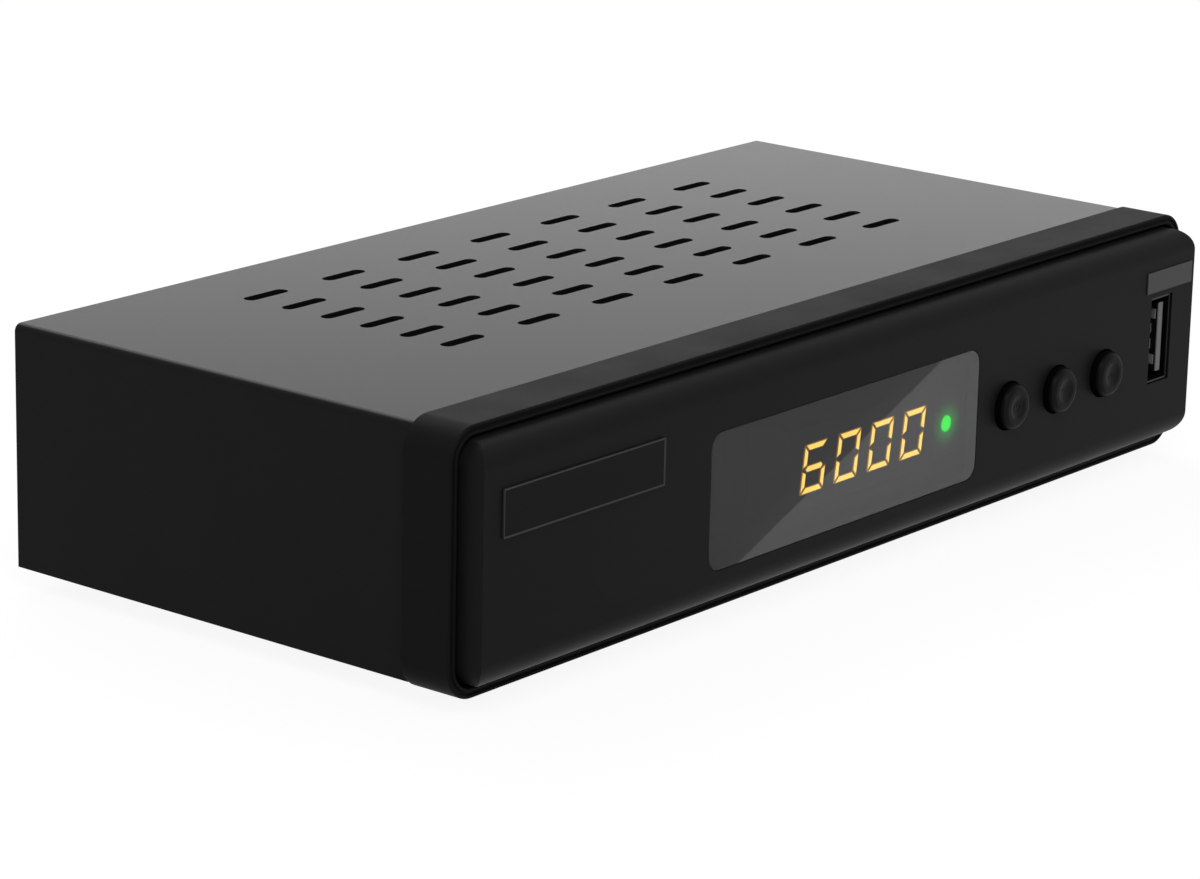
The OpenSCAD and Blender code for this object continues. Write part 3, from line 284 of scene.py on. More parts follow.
@dataclass(frozen=True)
class Finish:
    """A surface as its maker would order it.

    Attributes:
        slot: The record's material slot.
        color: The base colour.
        roughness: The middle roughness.
        specular: The level of the plain reflection, 0.5 for common plastic.
        metallic: 1 for bare metal.
        grain: The surface's grain.
        spread: How far the roughness goes up and down.
        mottle: How far the colour goes up and down, as a share.
        patch: Width of the patches in which these change.
        label: The material's name, where the slot has more than one finish.
    """

    slot: str
    color: Color
    roughness: float
    specular: float = 0.5
    metallic: float = 0.0
    grain: Grain = Grain.SPARKED
    spread: float = 0.04
    mottle: float = 0.12
    patch: float = 9 * MM
    label: str = ""

    @property
    def name(self) -> str:
        """The material's name."""
        return f"{self.label or self.slot}_finish"

    def material(self) -> bpy.types.Material:
        """Makes the material once.

        Returns:
            The material.
        """
        made = bpy.data.materials.get(self.name)
        if made is None:
            made = bpy.data.materials.new(self.name)
            made.use_nodes = True
            self.wire(Graph(made.node_tree))
        return made

    def wire(self, graph: Graph) -> None:
        """Fills the material's tree.

        Args:
            graph: The empty tree.
        """
        texture = self.grain.value
        fine = graph.noise(graph.place(scale=texture.stretch), texture.size, texture.detail)
        broad = graph.noise(graph.place(), self.patch)
        smoothest = self.roughness - self.spread
        roughest = self.roughness + self.spread
        rough = graph.remap(broad, *graph.NOISE_SPAN, smoothest, roughest)
        shader = graph.add("ShaderNodeBsdfPrincipled", {
            "Base Color": self.tint(graph, broad),
            "Roughness": rough,
            "Metallic": self.metallic,
            "Specular IOR Level": self.specular,
            "Normal": graph.bump(fine, texture.depth),
        })
        self.glow(graph, shader)
        output = graph.add("ShaderNodeOutputMaterial")
        graph.feed(output.inputs["Surface"], shader.outputs["BSDF"])

    def tint(self, graph: Graph, broad: bpy.types.NodeSocket) -> bpy.types.NodeSocket:
        """Gives the base colour.

        Args:
            graph: The material's tree.
            broad: Noise in wide patches.

        Returns:
            The colour's socket.
        """
        return graph.between(broad, shade(self.color, 1 - self.mottle), shade(self.color, 1 + self.mottle))

    def glow(self, graph: Graph, shader: bpy.types.Node) -> None:
        """Adds light of its own, which a plain surface has none of."""


@dataclass(frozen=True)
class LampFinish(Finish):
    """A surface that gives light.

    Attributes:
        light: The light's colour.
        strength: The light's strength.
        lit_to: Where along Y the light stops, for a lamp that shines to the front alone.
    """

    light: Color = WHITE
    strength: float = 1.0
    lit_to: float = math.inf

    def glow(self, graph: Graph, shader: bpy.types.Node) -> None:
        """Sets the light.

        Args:
            graph: The material's tree.
            shader: The surface's shader.
        """
        strength = self.strength
        if math.isfinite(self.lit_to):
            front = graph.math("LESS_THAN", graph.axis(graph.place(), "Y"), self.lit_to)
            strength = graph.math("MULTIPLY", front, self.strength)
        graph.feed(shader.inputs["Emission Color"], opaque(self.light))
        graph.feed(shader.inputs["Emission Strength"], strength)


@dataclass(frozen=True)
class PaneFinish(Finish):
    """Smoked film, a lighter painted reflection cut off by a straight line, and a painted glow round the
    status light.

    Attributes:
        pale: The colour of the painted reflection, a lighter corner.
        opacity: How much of what lies behind one face of the pane hides.
        line_from: A point of the line, as X and Z.
        line_to: A second point of the line, as X and Z.
        line_soft: How far the line fades to each side.
        halo_at: The middle of the halo on the pane's back.
        halo_r: The halo's radius.
        halo_skin: How far in front of the pane's back the halo may lie.
        halo_fall: How fast the halo fades outwards.
        halo: The colour of the painted glow.
        halo_strength: The painted glow's strength in its middle.
    """

    pale: Color = (0.1, 0.1, 0.1)
    opacity: float = 0.5
    line_from: tuple[float, float] = (0, 0)
    line_to: tuple[float, float] = (1, 1)
    line_soft: float = 0.12 * MM
    halo_at: Point = (0, 0, 0)
    halo_r: float = 4.5 * MM
    halo_skin: float = 0.5 * MM
    halo_fall: float = 1.6
    halo: Color = (0.02, 0.9, 0.1)
    halo_strength: float = 1.0

    def tint(self, graph: Graph, broad: bpy.types.NodeSocket) -> bpy.types.NodeSocket:
        """Gives the film's tone and the lighter tone of the painted reflection.

        Args:
            graph: The material's tree.
            broad: Noise in wide patches; not used here.

        Returns:
            The colour's socket.
        """
        run = self.line_to[0] - self.line_from[0]
        rise = self.line_to[1] - self.line_from[1]
        slope = math.atan2(rise, run)
        height = self.line_from[1] * math.cos(slope) - self.line_from[0] * math.sin(slope)
        across = graph.axis(graph.place(turn=(0, slope, 0), shift=(0, 0, -height)), "Z")
        step = graph.remap(across, -self.line_soft, self.line_soft, 0.0, 1.0, smooth=True)
        # Painted reflection: the corner on one side of the line takes the lighter colour instead of a
        # reflection from the lights.
        return graph.between(step, self.pale, self.color)

    def glow(self, graph: Graph, shader: bpy.types.Node) -> None:
        """Adds the painted glow of the halo and lets light through.

        Args:
            graph: The material's tree.
            shader: The surface's shader.
        """
        # Painted glow: the pane gives green light of its own round the status light, fading outwards.
        centred = graph.place(shift=tuple(-part for part in self.halo_at))
        away = graph.add("ShaderNodeVectorMath", {0: centred}, operation="LENGTH").outputs["Value"]
        near = graph.remap(away, 0.0, self.halo_r, 1.0, 0.0, smooth=True)
        behind = graph.math("GREATER_THAN", graph.axis(centred, "Y"), -self.halo_skin)
        soft = graph.math("MULTIPLY", graph.math("POWER", near, self.halo_fall), behind)
        graph.feed(shader.inputs["Emission Color"], graph.between(soft, BLACK, self.halo))
        graph.feed(shader.inputs["Emission Strength"], self.halo_strength)
        graph.feed(shader.inputs["Alpha"], self.opacity)


@dataclass(frozen=True)
class TippedFinish(Finish):
    """A colour whose front end is another one, used for the painted shade on the buttons and the painted
    highlight on the port's tongue.

    Attributes:
        tip: The colour of the front end.
        tip_y: Where along Y the front end stops.
    """

    tip: Color = (0.5, 0.5, 0.5)
    tip_y: float = 0.0

    def tint(self, graph: Graph, broad: bpy.types.NodeSocket) -> bpy.types.NodeSocket:
        """Gives the two colours.

        Args:
            graph: The material's tree.
            broad: Noise in wide patches; not used here.

        Returns:
            The colour's socket.
        """
        factor = graph.math("LESS_THAN", graph.axis(graph.place(), "Y"), self.tip_y)
        return graph.between(factor, self.color, self.tip)


@dataclass(frozen=True)
class BoardFinish(Finish):
    """Solder mask over copper tracks.

    Attributes:
        copper: The colour of the mask over copper.
        pitch: The distance between tracks.
        share: The track's share of the pitch.
        bare: The noise under which a patch has no tracks.
    """

    copper: Color = (0.05, 0.25, 0.09)
    pitch: float = 1.27 * MM
    share: float = 0.35
    bare: float = 0.5

    def tint(self, graph: Graph, broad: bpy.types.NodeSocket) -> bpy.types.NodeSocket:
        """Gives tracks that run along the board in patches.

        Args:
            graph: The material's tree.
            broad: Noise in wide patches.

        Returns:
            The colour's socket.
        """
        row = graph.axis(graph.place(scale=(1 / self.pitch, 1 / self.pitch, 1 / self.pitch)), "X")
        track = graph.math("LESS_THAN", graph.math("FRACT", row), self.share)
        patch = graph.math("GREATER_THAN", broad, self.bare)
        return graph.between(graph.math("MULTIPLY", track, patch), self.color, self.copper)


@dataclass(frozen=True)
class StripedFinish(Finish):
    """A colour with stripes across one axis, such as a flat lead's wires or a coil's turns.

    Attributes:
        stripe: The stripes' colour.
        pitch: The distance from stripe to stripe.
        share: The stripe's share of the pitch.
        along: The axis that the stripes repeat along.
    """

    stripe: Color = (0.1, 0.1, 0.1)
    pitch: float = 1 * MM
    share: float = 0.3
    along: str = "X"

    def tint(self, graph: Graph, broad: bpy.types.NodeSocket) -> bpy.types.NodeSocket:
        """Gives the striped colour.

        Args:
            graph: The material's tree.
            broad: Noise in wide patches; not used here.

        Returns:
            The colour's socket.
        """
        spot = graph.axis(graph.place(scale=(1 / self.pitch, 1 / self.pitch, 1 / self.pitch)), self.along)
        factor = graph.math("LESS_THAN", graph.math("FRACT", spot), self.share)
        return graph.between(factor, self.color, self.stripe)


COVER_PAINT = Finish("cover_paint", (0.0078, 0.0078, 0.0079), 0.24, 0.041, grain=Grain.POWDER, spread=0.006)
TRAY_PAINT = Finish("tray_paint", (0.0078, 0.0078, 0.0079), 0.3, 0.041, grain=Grain.POWDER)
FRAME_PLASTIC = Finish("frame_plastic", (0.0065, 0.0065, 0.0066), 0.56, 0.03)
FASCIA_PLASTIC = Finish(
    "fascia_plastic", (0.0068, 0.0068, 0.0069), 0.44, 0.044, grain=Grain.POLISHED, spread=0.02,
)
BADGE_FILM = Finish("badge_film", (0.005, 0.005, 0.0051), 0.24, 0.042, grain=Grain.POLISHED, spread=0.03)
# The badge's rim is painted lighter than its field, a painted highlight along the plate's edges.
BADGE_RIM_HIGHLIGHT = Finish("badge_film", (0.03, 0.03, 0.0304), 0.3, 0.12, grain=Grain.POLISHED, label="badge_rim")
TAG_FILM = Finish("tag_film", (0.05, 0.05, 0.05), 0.4, 0.12)
BUTTON_PLASTIC = Finish("button_plastic", (0.0075, 0.0075, 0.0076), 0.36, 0.04, grain=Grain.POLISHED)
SWITCH_PLASTIC = Finish("switch_plastic", (0.03, 0.03, 0.031), 0.5)
PLUNGER_PLASTIC = Finish("plunger_plastic", (0.72, 0.7, 0.65), 0.45)
BOARD_LAMINATE = BoardFinish("board_laminate", (0.02, 0.13, 0.05), 0.35, grain=Grain.PRESSED)
LIT_BAR = LampFinish("lit_bar", (0.3, 0.16, 0.03), 0.4, light=(1.0, 0.48, 0.04), strength=2.4)
LIT_CORE = LampFinish(
    "lit_bar", (0.5, 0.4, 0.12), 0.4, light=(1.0, 0.66, 0.13), strength=11.0, label="lit_core",
)
DARK_BAR = Finish("dark_bar", (0.012, 0.012, 0.012), 0.4)
BLACK_PLASTIC = Finish("black_plastic", (0.008, 0.008, 0.008), 0.5, 0.35)
DARK_NICKEL = Finish(
    "nickel", (0.035, 0.035, 0.034), 0.38, metallic=1.0, grain=Grain.ROLLED, label="dark_nickel",
)
DULL_TIN = Finish("gilt", (0.8, 0.79, 0.76), 0.5, metallic=1.0, grain=Grain.TURNED, label="dull_tin")
NICKEL = Finish("nickel", (0.6, 0.57, 0.52), 0.28, metallic=1.0, grain=Grain.TURNED)
TINPLATE = Finish("tinplate", (0.62, 0.62, 0.6), 0.36, metallic=1.0, grain=Grain.ROLLED)
WHITE_PLASTIC = Finish("white_plastic", (0.8, 0.8, 0.78), 0.4)
GILT = Finish("gilt", (0.85, 0.6, 0.25), 0.25, metallic=1.0, grain=Grain.TURNED)
RIBBON_SLEEVE = StripedFinish(
    "ribbon_sleeve", (0.62, 0.62, 0.6), 0.45, stripe=(0.3, 0.3, 0.3), pitch=1.27 * MM,
)
ORANGE_PLASTIC = Finish("orange_plastic", (0.75, 0.22, 0.03), 0.42)
CHIP_RESIN = Finish("chip_resin", (0.012, 0.012, 0.013), 0.55, grain=Grain.PRESSED)
BARE_ALUMINIUM = Finish("bare_aluminium", (0.75, 0.75, 0.76), 0.34, metallic=1.0, grain=Grain.ROLLED)
CAPACITOR_SLEEVE = Finish("capacitor_sleeve", (0.01, 0.012, 0.02), 0.3)
FERRITE = Finish("ferrite", (0.03, 0.03, 0.032), 0.65, grain=Grain.PRESSED)
SCREW_STEEL = Finish("screw_steel", (0.06, 0.06, 0.062), 0.38, metallic=1.0, grain=Grain.TURNED)
FOOT_RUBBER = Finish("foot_rubber", (0.012, 0.012, 0.012), 0.8, 0.3, grain=Grain.PRESSED)


class Body(Enum):
    """The bodies that pieces move with."""

    CASE = "case"
    POWER_CAP = "power_cap"
    DOWN_CAP = "down_cap"
    UP_CAP = "up_cap"


class Sign(Enum):
    """The signs on the buttons, each with its button and the body that it moves with."""

    POWER = ("power_button", Body.POWER_CAP)
    DOWN = ("down_button", Body.DOWN_CAP)
    UP = ("up_button", Body.UP_CAP)


def only(piece: bpy.types.Object) -> None:
    """Selects one object and nothing else.

    Args:
        piece: The object.
    """
    bpy.ops.object.select_all(action="DESELECT")
    piece.select_set(True)
    bpy.context.view_layer.objects.active = piece


def paint(piece: bpy.types.Object, *finishes: Finish) -> None:
    """Gives an object its finishes, in the order of its material slots.

    Args:
        piece: The object.
        finishes: One finish for each material slot.
    """
    piece.data.materials.clear()
    for finish in finishes:
        piece.data.materials.append(finish.material())


def settle(piece: bpy.types.Object, body: Body, finish: Finish, *nodes: str) -> None:
    """Sets a finished piece on its body and reports it.

    Args:
        piece: The piece, in its place.
        body: The body that it moves with.
        finish: Its main finish; not used.
        nodes: The nodes that it stands for.
    """
    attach(piece, body.value)
    if nodes:
        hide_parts(*nodes)
    log.info("%s on %s, %d faces", piece.name, body.value, len(piece.data.polygons))


def merged_copy(node: str, name: str) -> bpy.types.Object:
    """Copies a node's mesh and merges its loose triangles into whole faces.

    Args:
        node: The node.
        name: The copy's name.

    Returns:
        The copy, selected.
    """
    piece = bpy.data.objects.new(name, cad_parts[node].data.copy())
    bpy.context.scene.collection.objects.link(piece)
    only(piece)
    bpy.ops.object.mode_set(mode="EDIT")
    bpy.ops.mesh.select_all(action="SELECT")
    bpy.ops.mesh.remove_doubles(threshold=MERGE_GAP)
    bpy.ops.mesh.customdata_custom_splitnormals_clear()
    bpy.ops.mesh.dissolve_limited(angle_limit=FLAT_ANGLE)
    bpy.ops.mesh.select_all(action="DESELECT")
    bpy.ops.object.mode_set(mode="OBJECT")
    return piece


def apply_modifier(piece: bpy.types.Object, kind: str, **settings: object) -> None:
    """Adds a modifier to the selected piece and applies it.

    Args:
        piece: The piece, selected.
        kind: Blender's name of the modifier's type.
        settings: Values of the modifier's properties.
    """
    bpy.ops.object.modifier_add(type=kind)
    modifier = piece.modifiers[-1]
    for key, value in settings.items():
        setattr(modifier, key, value)
    bpy.ops.object.modifier_apply(modifier=modifier.name)


def soften(piece: bpy.types.Object, edge: float, segments: int) -> None:
    """Rounds the sharp edges and keeps the shading of the flat faces flat.

    Args:
        piece: The piece.
        edge: Width of the rounding.
        segments: Number of faces across it.
    """
    only(piece)
    bpy.ops.object.mode_set(mode="EDIT")
    bpy.ops.mesh.select_mode(type="EDGE")
    bpy.ops.mesh.select_all(action="DESELECT")
    bpy.ops.mesh.edges_select_sharp(sharpness=SHARP_ANGLE)
    bpy.ops.mesh.bevel(offset=edge, segments=segments, affect="EDGES", clamp_overlap=True)
    bpy.ops.mesh.select_mode(type="FACE")
    bpy.ops.object.mode_set(mode="OBJECT")
    bpy.ops.object.shade_smooth_by_angle(angle=SMOOTH_ANGLE)
    apply_modifier(piece, "WEIGHTED_NORMAL", keep_sharp=True)


def move_front(piece: bpy.types.Object, rim: float, move: float) -> None:
    """Insets the faces that look to the front, moves them along Y and gives them the second finish.

    Args:
        piece: The piece, with two finishes.
        rim: Width of the rim that stays.
        move: The way along Y.
    """
    only(piece)
    for face in piece.data.polygons:
        face.select = face.normal.y < FRONT_FACING
    bpy.ops.object.mode_set(mode="EDIT")
    bpy.ops.mesh.select_mode(type="FACE")
    bpy.ops.mesh.inset(thickness=rim, use_individual=True)
    bpy.ops.transform.translate(value=(0, move, 0))
    piece.active_material_index = 1
    bpy.ops.object.material_slot_assign()
    bpy.ops.object.mode_set(mode="OBJECT")


@dataclass(frozen=True)
class Skin:
    """How one node is dressed.

    Attributes:
        node: The node.
        finish: Its finish.
        edge: Width of the rounding of its edges, or 0 to keep the node's own mesh.
        segments: Number of faces across the rounding.
    """

    node: str
    finish: Finish
    edge: float = 0.0
    segments: int = 2

    def build(self, body: Body) -> bpy.types.Object:
        """Rounds the edges where asked and sets the finish.

        Args:
            body: The body that the node moves with.

        Returns:
            The dressed object.
        """
        if not self.edge:
            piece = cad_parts[self.node]
            paint(piece, self.finish)
            return piece
        piece = merged_copy(self.node, f"{self.node}_rounded")
        soften(piece, self.edge, self.segments)
        paint(piece, self.finish)
        settle(piece, body, self.finish, self.node)
        return piece


@dataclass
class SubAssembly:
    """Nodes that are dressed together.

    Attributes:
        skins: How each of its nodes is dressed.
    """

    skins: tuple[Skin, ...] = ()

    def build(self) -> None:
        """Makes the sub-assembly's own pieces, where it has any."""

    def dress(self) -> None:
        """Dresses the nodes."""
        for skin in self.skins:
            skin.build(Body.CASE)


@dataclass
class Case(SubAssembly):
    """The folded cover and tray, with their screws and feet."""

    skins: tuple[Skin, ...] = (
        Skin("top_cover", COVER_PAINT, 0.12 * MM),
        Skin("chassis_tray", TRAY_PAINT, 0.12 * MM),
        Skin("cover_screws", SCREW_STEEL, 0.15 * MM),
        Skin("board_screws", SCREW_STEEL, 0.12 * MM),
        Skin("frame_screws", SCREW_STEEL, 0.12 * MM),
        Skin("rubber_feet", FOOT_RUBBER, 0.35 * MM, 3),
    )


@dataclass
class FrontFrame(SubAssembly):
    """The matt frame and the gloss front in it, with the two small plates.

    Attributes:
        badge_rim: Width of the badge plate's rim.
        badge_sink: Depth of the badge plate's field behind its rim.
        badge_edge: Width of the rounding of the rim.
    """

    badge_rim: float = 0.25 * MM
    badge_sink: float = 0.12 * MM
    badge_edge: float = 0.06 * MM
    skins: tuple[Skin, ...] = (
        Skin("front_bezel", FRAME_PLASTIC, 0.25 * MM, 3),
        Skin("fascia", FASCIA_PLASTIC, 0.1 * MM),
        Skin("port_tag", TAG_FILM, 0.07 * MM),
    )

    def build(self) -> None:
        """Models the badge plate as a blank field in a thin rim that is painted lighter, a painted highlight
        on its edges.
        """
        badge = merged_copy("badge_plate", "badge_framed")
        paint(badge, BADGE_RIM_HIGHLIGHT, BADGE_FILM)
        move_front(badge, self.badge_rim, self.badge_sink)
        soften(badge, self.badge_edge, 2)
        settle(badge, Body.CASE, BADGE_FILM, "badge_plate")


@dataclass
class Display(SubAssembly):
    """The pane with the digits and the status light behind it.

    Attributes:
        bar_rim: Width of the darker rim of a lit bar.
        bar_crown: How far the bar's middle stands proud of its rim.
        lens_face: Depth of the status light's bright front.
    """

    bar_rim: float = 0.11 * MM
    bar_crown: float = 0.03 * MM
    lens_face: float = 0.05 * MM

    def __post_init__(self) -> None:
        """Works out the finishes of the status light and of the pane in front of it from their places."""
        low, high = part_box("status_light")
        middle = (low + high) / 2
        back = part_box("display_window")[1].y
        lens = LampFinish(
            "green_lens", (0.01, 0.2, 0.03), 0.3, light=(0.0, 1.0, 0.03), strength=6.5,
            lit_to=low.y + self.lens_face,
        )
        # The pane's lighter corner is a painted reflection, and its halo is a painted glow of the status
        # light.
        pane = PaneFinish(
            "smoked_pane", (0.056, 0.056, 0.057), 0.14, 0.08, grain=Grain.POLISHED, spread=0.02,
            pale=(0.138, 0.138, 0.14), opacity=0.7,
            line_from=(-30.4 * MM, 9.31 * MM), line_to=(16.15 * MM, 28.47 * MM),
            halo_at=(middle.x, back, middle.z),
        )
        self.skins = (
            Skin("display_window", pane, 0.08 * MM),
            Skin("digit_block", BLACK_PLASTIC, 0.15 * MM),
            Skin("dark_segments", DARK_BAR),
            Skin("status_light", lens),
            Skin("light_spacer", BLACK_PLASTIC),
            Skin("remote_eye", CHIP_RESIN),
            Skin("front_board", BOARD_LAMINATE),
            Skin("front_board_screws", SCREW_STEEL, 0.1 * MM),
        )

    def build(self) -> None:
        """Models the lit bars with a pale middle and a deeper rim."""
        bars = merged_copy("lit_segments", "lit_bars")
        paint(bars, LIT_BAR, LIT_CORE)
        move_front(bars, self.bar_rim, -self.bar_crown)
        settle(bars, Body.CASE, LIT_BAR, "lit_segments")


@dataclass
class ButtonRow(SubAssembly):
    """The three buttons, the signs on them and the switches behind.

    Attributes:
        ring_r: Outer radius of the power sign's ring.
        ring_gap: Half the gap in the top of that ring.
        ring_sides: Number of faces round that ring.
        bar_foot: Height of the lower end of the power sign's bar, as a share of the ring's radius.
        arrow_w: Half the width of an arrow.
        arrow_h: Height of an arrow.
        arrow_join: Points of an arrow's halves closer than this are merged.
        stroke: Width of a sign's strokes.
        stroke_faces: Number of faces along and across a straight stroke.
        relief: Height of a sign.
        seat: Where the dished face lies in that height, from -1 at its top to 1 at its foot.
        cap_face: Depth of a button's face, behind which its sides are painted darker, a painted shade.
        skirt_shade: The painted shade on a button's sides, a darker colour that stands in for the shadow
            there.
    """

    ring_r: float = 0.85 * MM
    ring_gap: float = 0.3 * MM
    ring_sides: int = 40
    bar_foot: float = 0.25
    arrow_w: float = 0.85 * MM
    arrow_h: float = 0.6 * MM
    arrow_join: float = 0.01 * MM
    stroke: float = 0.24 * MM
    stroke_faces: tuple[int, int] = (10, 2)
    relief: float = 0.06 * MM
    seat: float = 0.6
    cap_face: float = 0.4 * MM
    skirt_shade: Color = (0.0015, 0.0015, 0.0015)

    def __post_init__(self) -> None:
        """Works out where the faces of the buttons stop."""
        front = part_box("power_button")[0].y
        face = BUTTON_PLASTIC
        # Painted shade: a button's sides are painted darker than its face, standing in for the shadow on
        # them.
        cap = TippedFinish(
            face.slot, self.skirt_shade, face.roughness, face.specular, grain=face.grain, label="button_cap",
            tip=face.color, tip_y=front + self.cap_face,
        )
        self.skins = (
            Skin("power_plunger", PLUNGER_PLASTIC),
            Skin("down_plunger", PLUNGER_PLASTIC),
            Skin("up_plunger", PLUNGER_PLASTIC),
            Skin("power_button", cap),
            Skin("down_button", cap),
            Skin("up_button", cap),
            Skin("push_switches", SWITCH_PLASTIC),
        )

    def build(self) -> None:
        """Models a moulded sign in the dish of each button."""
        for sign in Sign:
            node, body = sign.value
            piece = self.model_power() if sign is Sign.POWER else self.model_arrow(sign is Sign.UP)
            piece.name = f"{node}_sign"
            self.mould(piece, node)
            paint(piece, BUTTON_PLASTIC)
            settle(piece, body, BUTTON_PLASTIC)

    def model_stroke(self, start: Vector, end: Vector) -> bpy.types.Object:
        """Models a straight stroke in the plane of X and Z.

        Args:
            start: Its first end.
            end: Its second end.

        Returns:
            A strip of small faces that look to the front.
        """
        run = end - start
        bpy.ops.object.select_all(action="DESELECT")
        along, across = self.stroke_faces
        bpy.ops.mesh.primitive_grid_add(x_subdivisions=along, y_subdivisions=across, size=1)
        strip = bpy.context.object
        strip.scale = (run.length + self.stroke, self.stroke, 1)
        strip.rotation_euler = (math.pi / 2, -math.atan2(run.z, run.x), 0)
        strip.location = (start + end) / 2
        bpy.ops.object.transform_apply(location=True, rotation=True, scale=True)
        return strip

    def model_arrow(self, up: bool) -> bpy.types.Object:
        """Models an arrow of two strokes about the origin.

        Args:
            up: Whether it points up.

        Returns:
            The flat arrow.
        """
        tip = self.arrow_h / 2 if up else -self.arrow_h / 2
        arrow = self.model_stroke(Vector((0, 0, tip)), Vector((self.arrow_w, 0, -tip)))
        apply_modifier(arrow, "MIRROR", use_axis=(True, False, False), use_bisect_axis=(True, False, False),
                       merge_threshold=self.arrow_join)
        return arrow

    def model_power(self) -> bpy.types.Object:
        """Models an open ring with a bar in its gap about the origin.

        Returns:
            The flat sign.
        """
        bar = self.model_stroke(Vector((0, 0, self.ring_r)), Vector((0, 0, self.ring_r * self.bar_foot)))
        bpy.ops.object.select_all(action="DESELECT")
        bpy.ops.mesh.primitive_circle_add(vertices=self.ring_sides, radius=self.ring_r, fill_type="NGON")
        ring = bpy.context.object
        ring.rotation_euler = (math.pi / 2, 0, 0)
        bpy.ops.object.transform_apply(location=True, rotation=True, scale=True)
        bpy.ops.object.mode_set(mode="EDIT")
        bpy.ops.mesh.select_all(action="SELECT")
        bpy.ops.mesh.inset(thickness=self.stroke)
        bpy.ops.mesh.delete(type="FACE")
        bpy.ops.object.mode_set(mode="OBJECT")
        for face in ring.data.polygons:
            face.select = face.center.z > 0 and abs(face.center.x) < self.ring_gap
        bpy.ops.object.mode_set(mode="EDIT")
        bpy.ops.mesh.delete(type="FACE")
        bpy.ops.object.mode_set(mode="OBJECT")
        bar.select_set(True)
        bpy.ops.object.join()
        return ring

    def mould(self, piece: bpy.types.Object, node: str) -> None:
        """Lays a flat sign on a button's face and gives it its height.

        Args:
            piece: The sign, about the origin.
            node: The button.
        """
        low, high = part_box(node)
        middle = (low + high) / 2
        only(piece)
        piece.location = (middle.x, low.y, middle.z)
        bpy.ops.object.transform_apply(location=True, rotation=True, scale=True)
        apply_modifier(piece, "SHRINKWRAP", target=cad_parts[node], wrap_method="PROJECT",
                       use_project_y=True, use_positive_direction=True, use_negative_direction=False)
        apply_modifier(piece, "SOLIDIFY", thickness=self.relief, offset=self.seat)
        bpy.ops.object.shade_smooth_by_angle(angle=SMOOTH_ANGLE)


@dataclass
class FrontPort(SubAssembly):
    """The upright socket in the front.

    Attributes:
        tip: Depth of the tongue's front end, painted pale as a painted highlight.
    """

    tip: float = 0.2 * MM

    def __post_init__(self) -> None:
        """Works out where the painted highlight on the tongue's front end stops."""
        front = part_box("port_tongue")[0].y
        # Painted highlight: the tongue is black, and its front end is painted pale to stand in for the light
        # that it catches.
        tongue = TippedFinish(
            "white_plastic", (0.004, 0.004, 0.004), 0.4, 0.1, label="tongue",
            tip=(0.155, 0.155, 0.152), tip_y=front + self.tip,
        )
        self.skins = (
            Skin("port_shell", DARK_NICKEL, 0.06 * MM),
            Skin("port_tongue", tongue, 0.1 * MM),
            Skin("port_contacts", DULL_TIN),
        )


@dataclass
class RearSockets(SubAssembly):
    """The sockets in the rear panel."""

    skins: tuple[Skin, ...] = (
        Skin("tuner_can", TINPLATE, 0.2 * MM),
        Skin("aerial_in_shell", NICKEL, 0.1 * MM),
        Skin("aerial_in_contact", GILT),
        Skin("aerial_out_sleeve", NICKEL, 0.1 * MM),
        Skin("aerial_out_pin", GILT),
        Skin("av_socket", BLACK_PLASTIC, 0.15 * MM),
        Skin("video_shell", NICKEL, 0.06 * MM),
        Skin("video_tongue", BLACK_PLASTIC),
        Skin("audio_jack", BLACK_PLASTIC, 0.15 * MM),
        Skin("audio_ring", ORANGE_PLASTIC, 0.12 * MM),
        Skin("power_jack", BLACK_PLASTIC, 0.15 * MM),
        Skin("power_jack_pin", NICKEL),
    )


@dataclass
class Boards(SubAssembly):
    """The main board and what it carries."""

    skins: tuple[Skin, ...] = (
        Skin("main_board", BOARD_LAMINATE),
        Skin("ribbon_cable", RIBBON_SLEEVE),
        Skin("ribbon_plugs", WHITE_PLASTIC, 0.12 * MM),
        Skin("processor", CHIP_RESIN, 0.12 * MM),
        Skin("heat_sink", BARE_ALUMINIUM, 0.08 * MM),
        Skin("memory_chips", CHIP_RESIN, 0.1 * MM),
        Skin("capacitors", CAPACITOR_SLEEVE),
        Skin("power_coils", FERRITE, 0.15 * MM),
        Skin("crystal", TINPLATE, 0.15 * MM),
    )


@dataclass(frozen=True)
class PhotoCamera:
    """The camera of the photograph.

    Attributes:
        at: The place of the lens.
        right: The picture's direction to the right.
        up: The picture's direction up.
        lens: The focal length in millimetres.
        sensor: The sensor's width in millimetres.
        near: The distance at which the view starts.
    """

    at: Point = (-0.48914, -0.39002, 0.18982)
    right: Point = (0.6313, -0.77525, 0.02114)
    up: Point = (0.19992, 0.18902, 0.96141)
    lens: float = 132.97
    sensor: float = 36.0
    near: float = 10 * MM

    def build(self) -> None:
        """Makes the camera and gives it to the scene."""
        data = bpy.data.cameras.new("photo_camera")
        data.lens = self.lens
        data.sensor_width = self.sensor
        data.sensor_fit = "HORIZONTAL"
        data.clip_start = self.near
        camera = bpy.data.objects.new("photo_camera", data)
        bpy.context.scene.collection.objects.link(camera)
        right = Vector(self.right).normalized()
        back = right.cross(Vector(self.up)).normalized()
        up = back.cross(right)
        turn = Matrix((right, up, back)).transposed()
        camera.matrix_world = Matrix.Translation(self.at) @ turn.to_4x4()
        bpy.context.scene.camera = camera


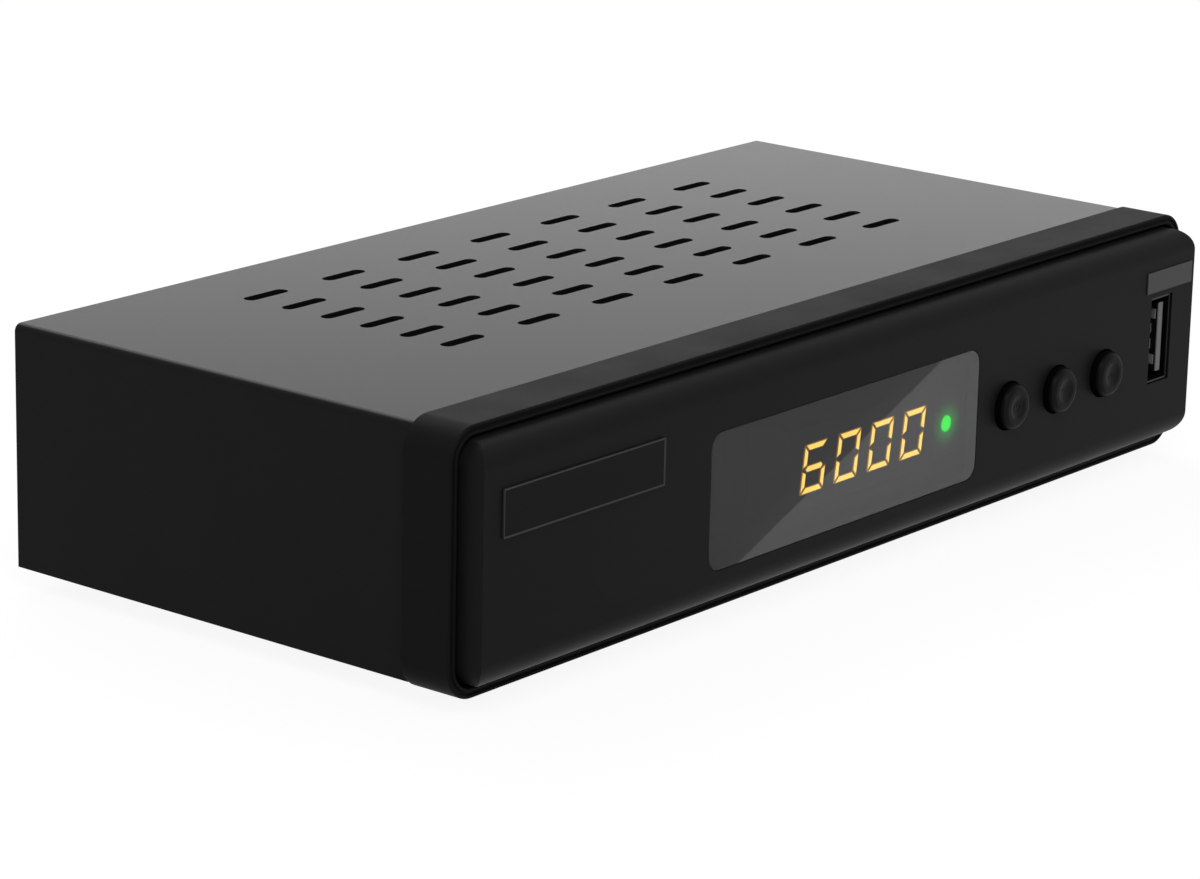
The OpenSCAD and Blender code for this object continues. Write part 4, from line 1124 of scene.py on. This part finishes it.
@dataclass(frozen=True)
class Softbox:
    """A flat lamp that looks at the case.

    Attributes:
        name: The lamp's name.
        at: Its place.
        width: Its width.
        height: Its height.
        power: Its power in watts.
    """

    name: str
    at: Point
    width: float
    height: float
    power: float

    def build(self, target: Vector) -> None:
        """Makes the lamp.

        Args:
            target: The point that it looks at.
        """
        data = bpy.data.lights.new(self.name, "AREA")
        data.shape = "RECTANGLE"
        data.size = self.width
        data.size_y = self.height
        data.energy = self.power
        lamp = bpy.data.objects.new(self.name, data)
        bpy.context.scene.collection.objects.link(lamp)
        lamp.location = self.at
        lamp.rotation_euler = (target - Vector(self.at)).to_track_quat("-Z", "Y").to_euler()


@dataclass
class Studio:
    """A pale floor under plain soft light.

    Attributes:
        floor_size: The floor's side.
        floor_color: The floor's matt colour.
        ambient: The world's strength on matt surfaces.
        floor_glow: The share of the floor's white that no shadow takes away.
        floor_light: The strength of that share.
        lamps: The softboxes.
    """

    floor_size: float = 8.0
    floor_color: Color = (0.8, 0.8, 0.8)
    ambient: float = 0.5
    floor_glow: float = 0.88
    floor_light: float = 1.04
    lamps: tuple[Softbox, ...] = (
        Softbox("key_softbox", (-0.7, -0.7, 1.2), 0.9, 0.9, 9.0),
        Softbox("back_softbox", (0.5, 0.9, 1.1), 0.9, 0.9, 8.0),
        Softbox("low_softbox", (0.95, 0.76, 0.2), 1.0, 0.26, 1.15),
    )

    def build(self) -> None:
        """Makes the world, the floor and the lamps."""
        self.light_world()
        self.lay_floor()
        low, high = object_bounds()
        for lamp in self.lamps:
            lamp.build((low + high) / 2)

    def seen(self, graph: Graph) -> bpy.types.NodeSocket:
        """Gives 1 for rays from the camera, off a gloss or through glass, and 0 for the rest.

        Args:
            graph: The tree of the world or the floor.

        Returns:
            The factor's socket.
        """
        path = graph.add("ShaderNodeLightPath").outputs
        direct = graph.math("MAXIMUM", path["Is Camera Ray"], path["Is Glossy Ray"])
        return graph.math("MAXIMUM", direct, path["Is Transmission Ray"])

    def light_world(self) -> None:
        """Makes a white surrounding that lights matt surfaces at a plain level."""
        world = bpy.data.worlds.new("studio_world")
        world.use_nodes = True
        bpy.context.scene.world = world
        graph = Graph(world.node_tree)
        strength = graph.remap(self.seen(graph), 0.0, 1.0, self.ambient, 1.0)
        sky = graph.add("ShaderNodeBackground", {"Color": opaque(WHITE), "Strength": strength})
        output = graph.add("ShaderNodeOutputWorld")
        graph.feed(output.inputs["Surface"], sky.outputs["Background"])

    def lay_floor(self) -> None:
        """Makes the floor, which keeps a faint shadow of the case."""
        bpy.ops.object.select_all(action="DESELECT")
        bpy.ops.mesh.primitive_plane_add(size=self.floor_size)
        floor = bpy.context.object
        floor.name = "studio_floor"
        material = bpy.data.materials.new("studio_floor")
        material.use_nodes = True
        graph = Graph(material.node_tree)
        matt = graph.add("ShaderNodeBsdfDiffuse", {"Color": opaque(self.floor_color)})
        light = graph.add("ShaderNodeEmission", {"Color": opaque(WHITE), "Strength": self.floor_light})
        share = graph.math("MULTIPLY", self.seen(graph), self.floor_glow)
        mix = graph.add("ShaderNodeMixShader", {0: share, 1: matt.outputs[0], 2: light.outputs[0]})
        output = graph.add("ShaderNodeOutputMaterial")
        graph.feed(output.inputs["Surface"], mix.outputs[0])
        floor.data.materials.append(material)
        floor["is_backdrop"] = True


def main() -> None:
    """Builds the camera, the sub-assemblies and the studio in order."""
    logging.basicConfig(level=logging.INFO, format="%(name)s: %(message)s")
    bpy.context.scene.view_settings.view_transform = "Standard"
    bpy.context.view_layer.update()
    PhotoCamera().build()
    for assembly in (Case(), FrontFrame(), Display(), ButtonRow(), FrontPort(), RearSockets(), Boards()):
        log.info("dressing %s", type(assembly).__name__)
        assembly.build()
        assembly.dress()
    Studio().build()


if __name__ == "__main__":
    main()
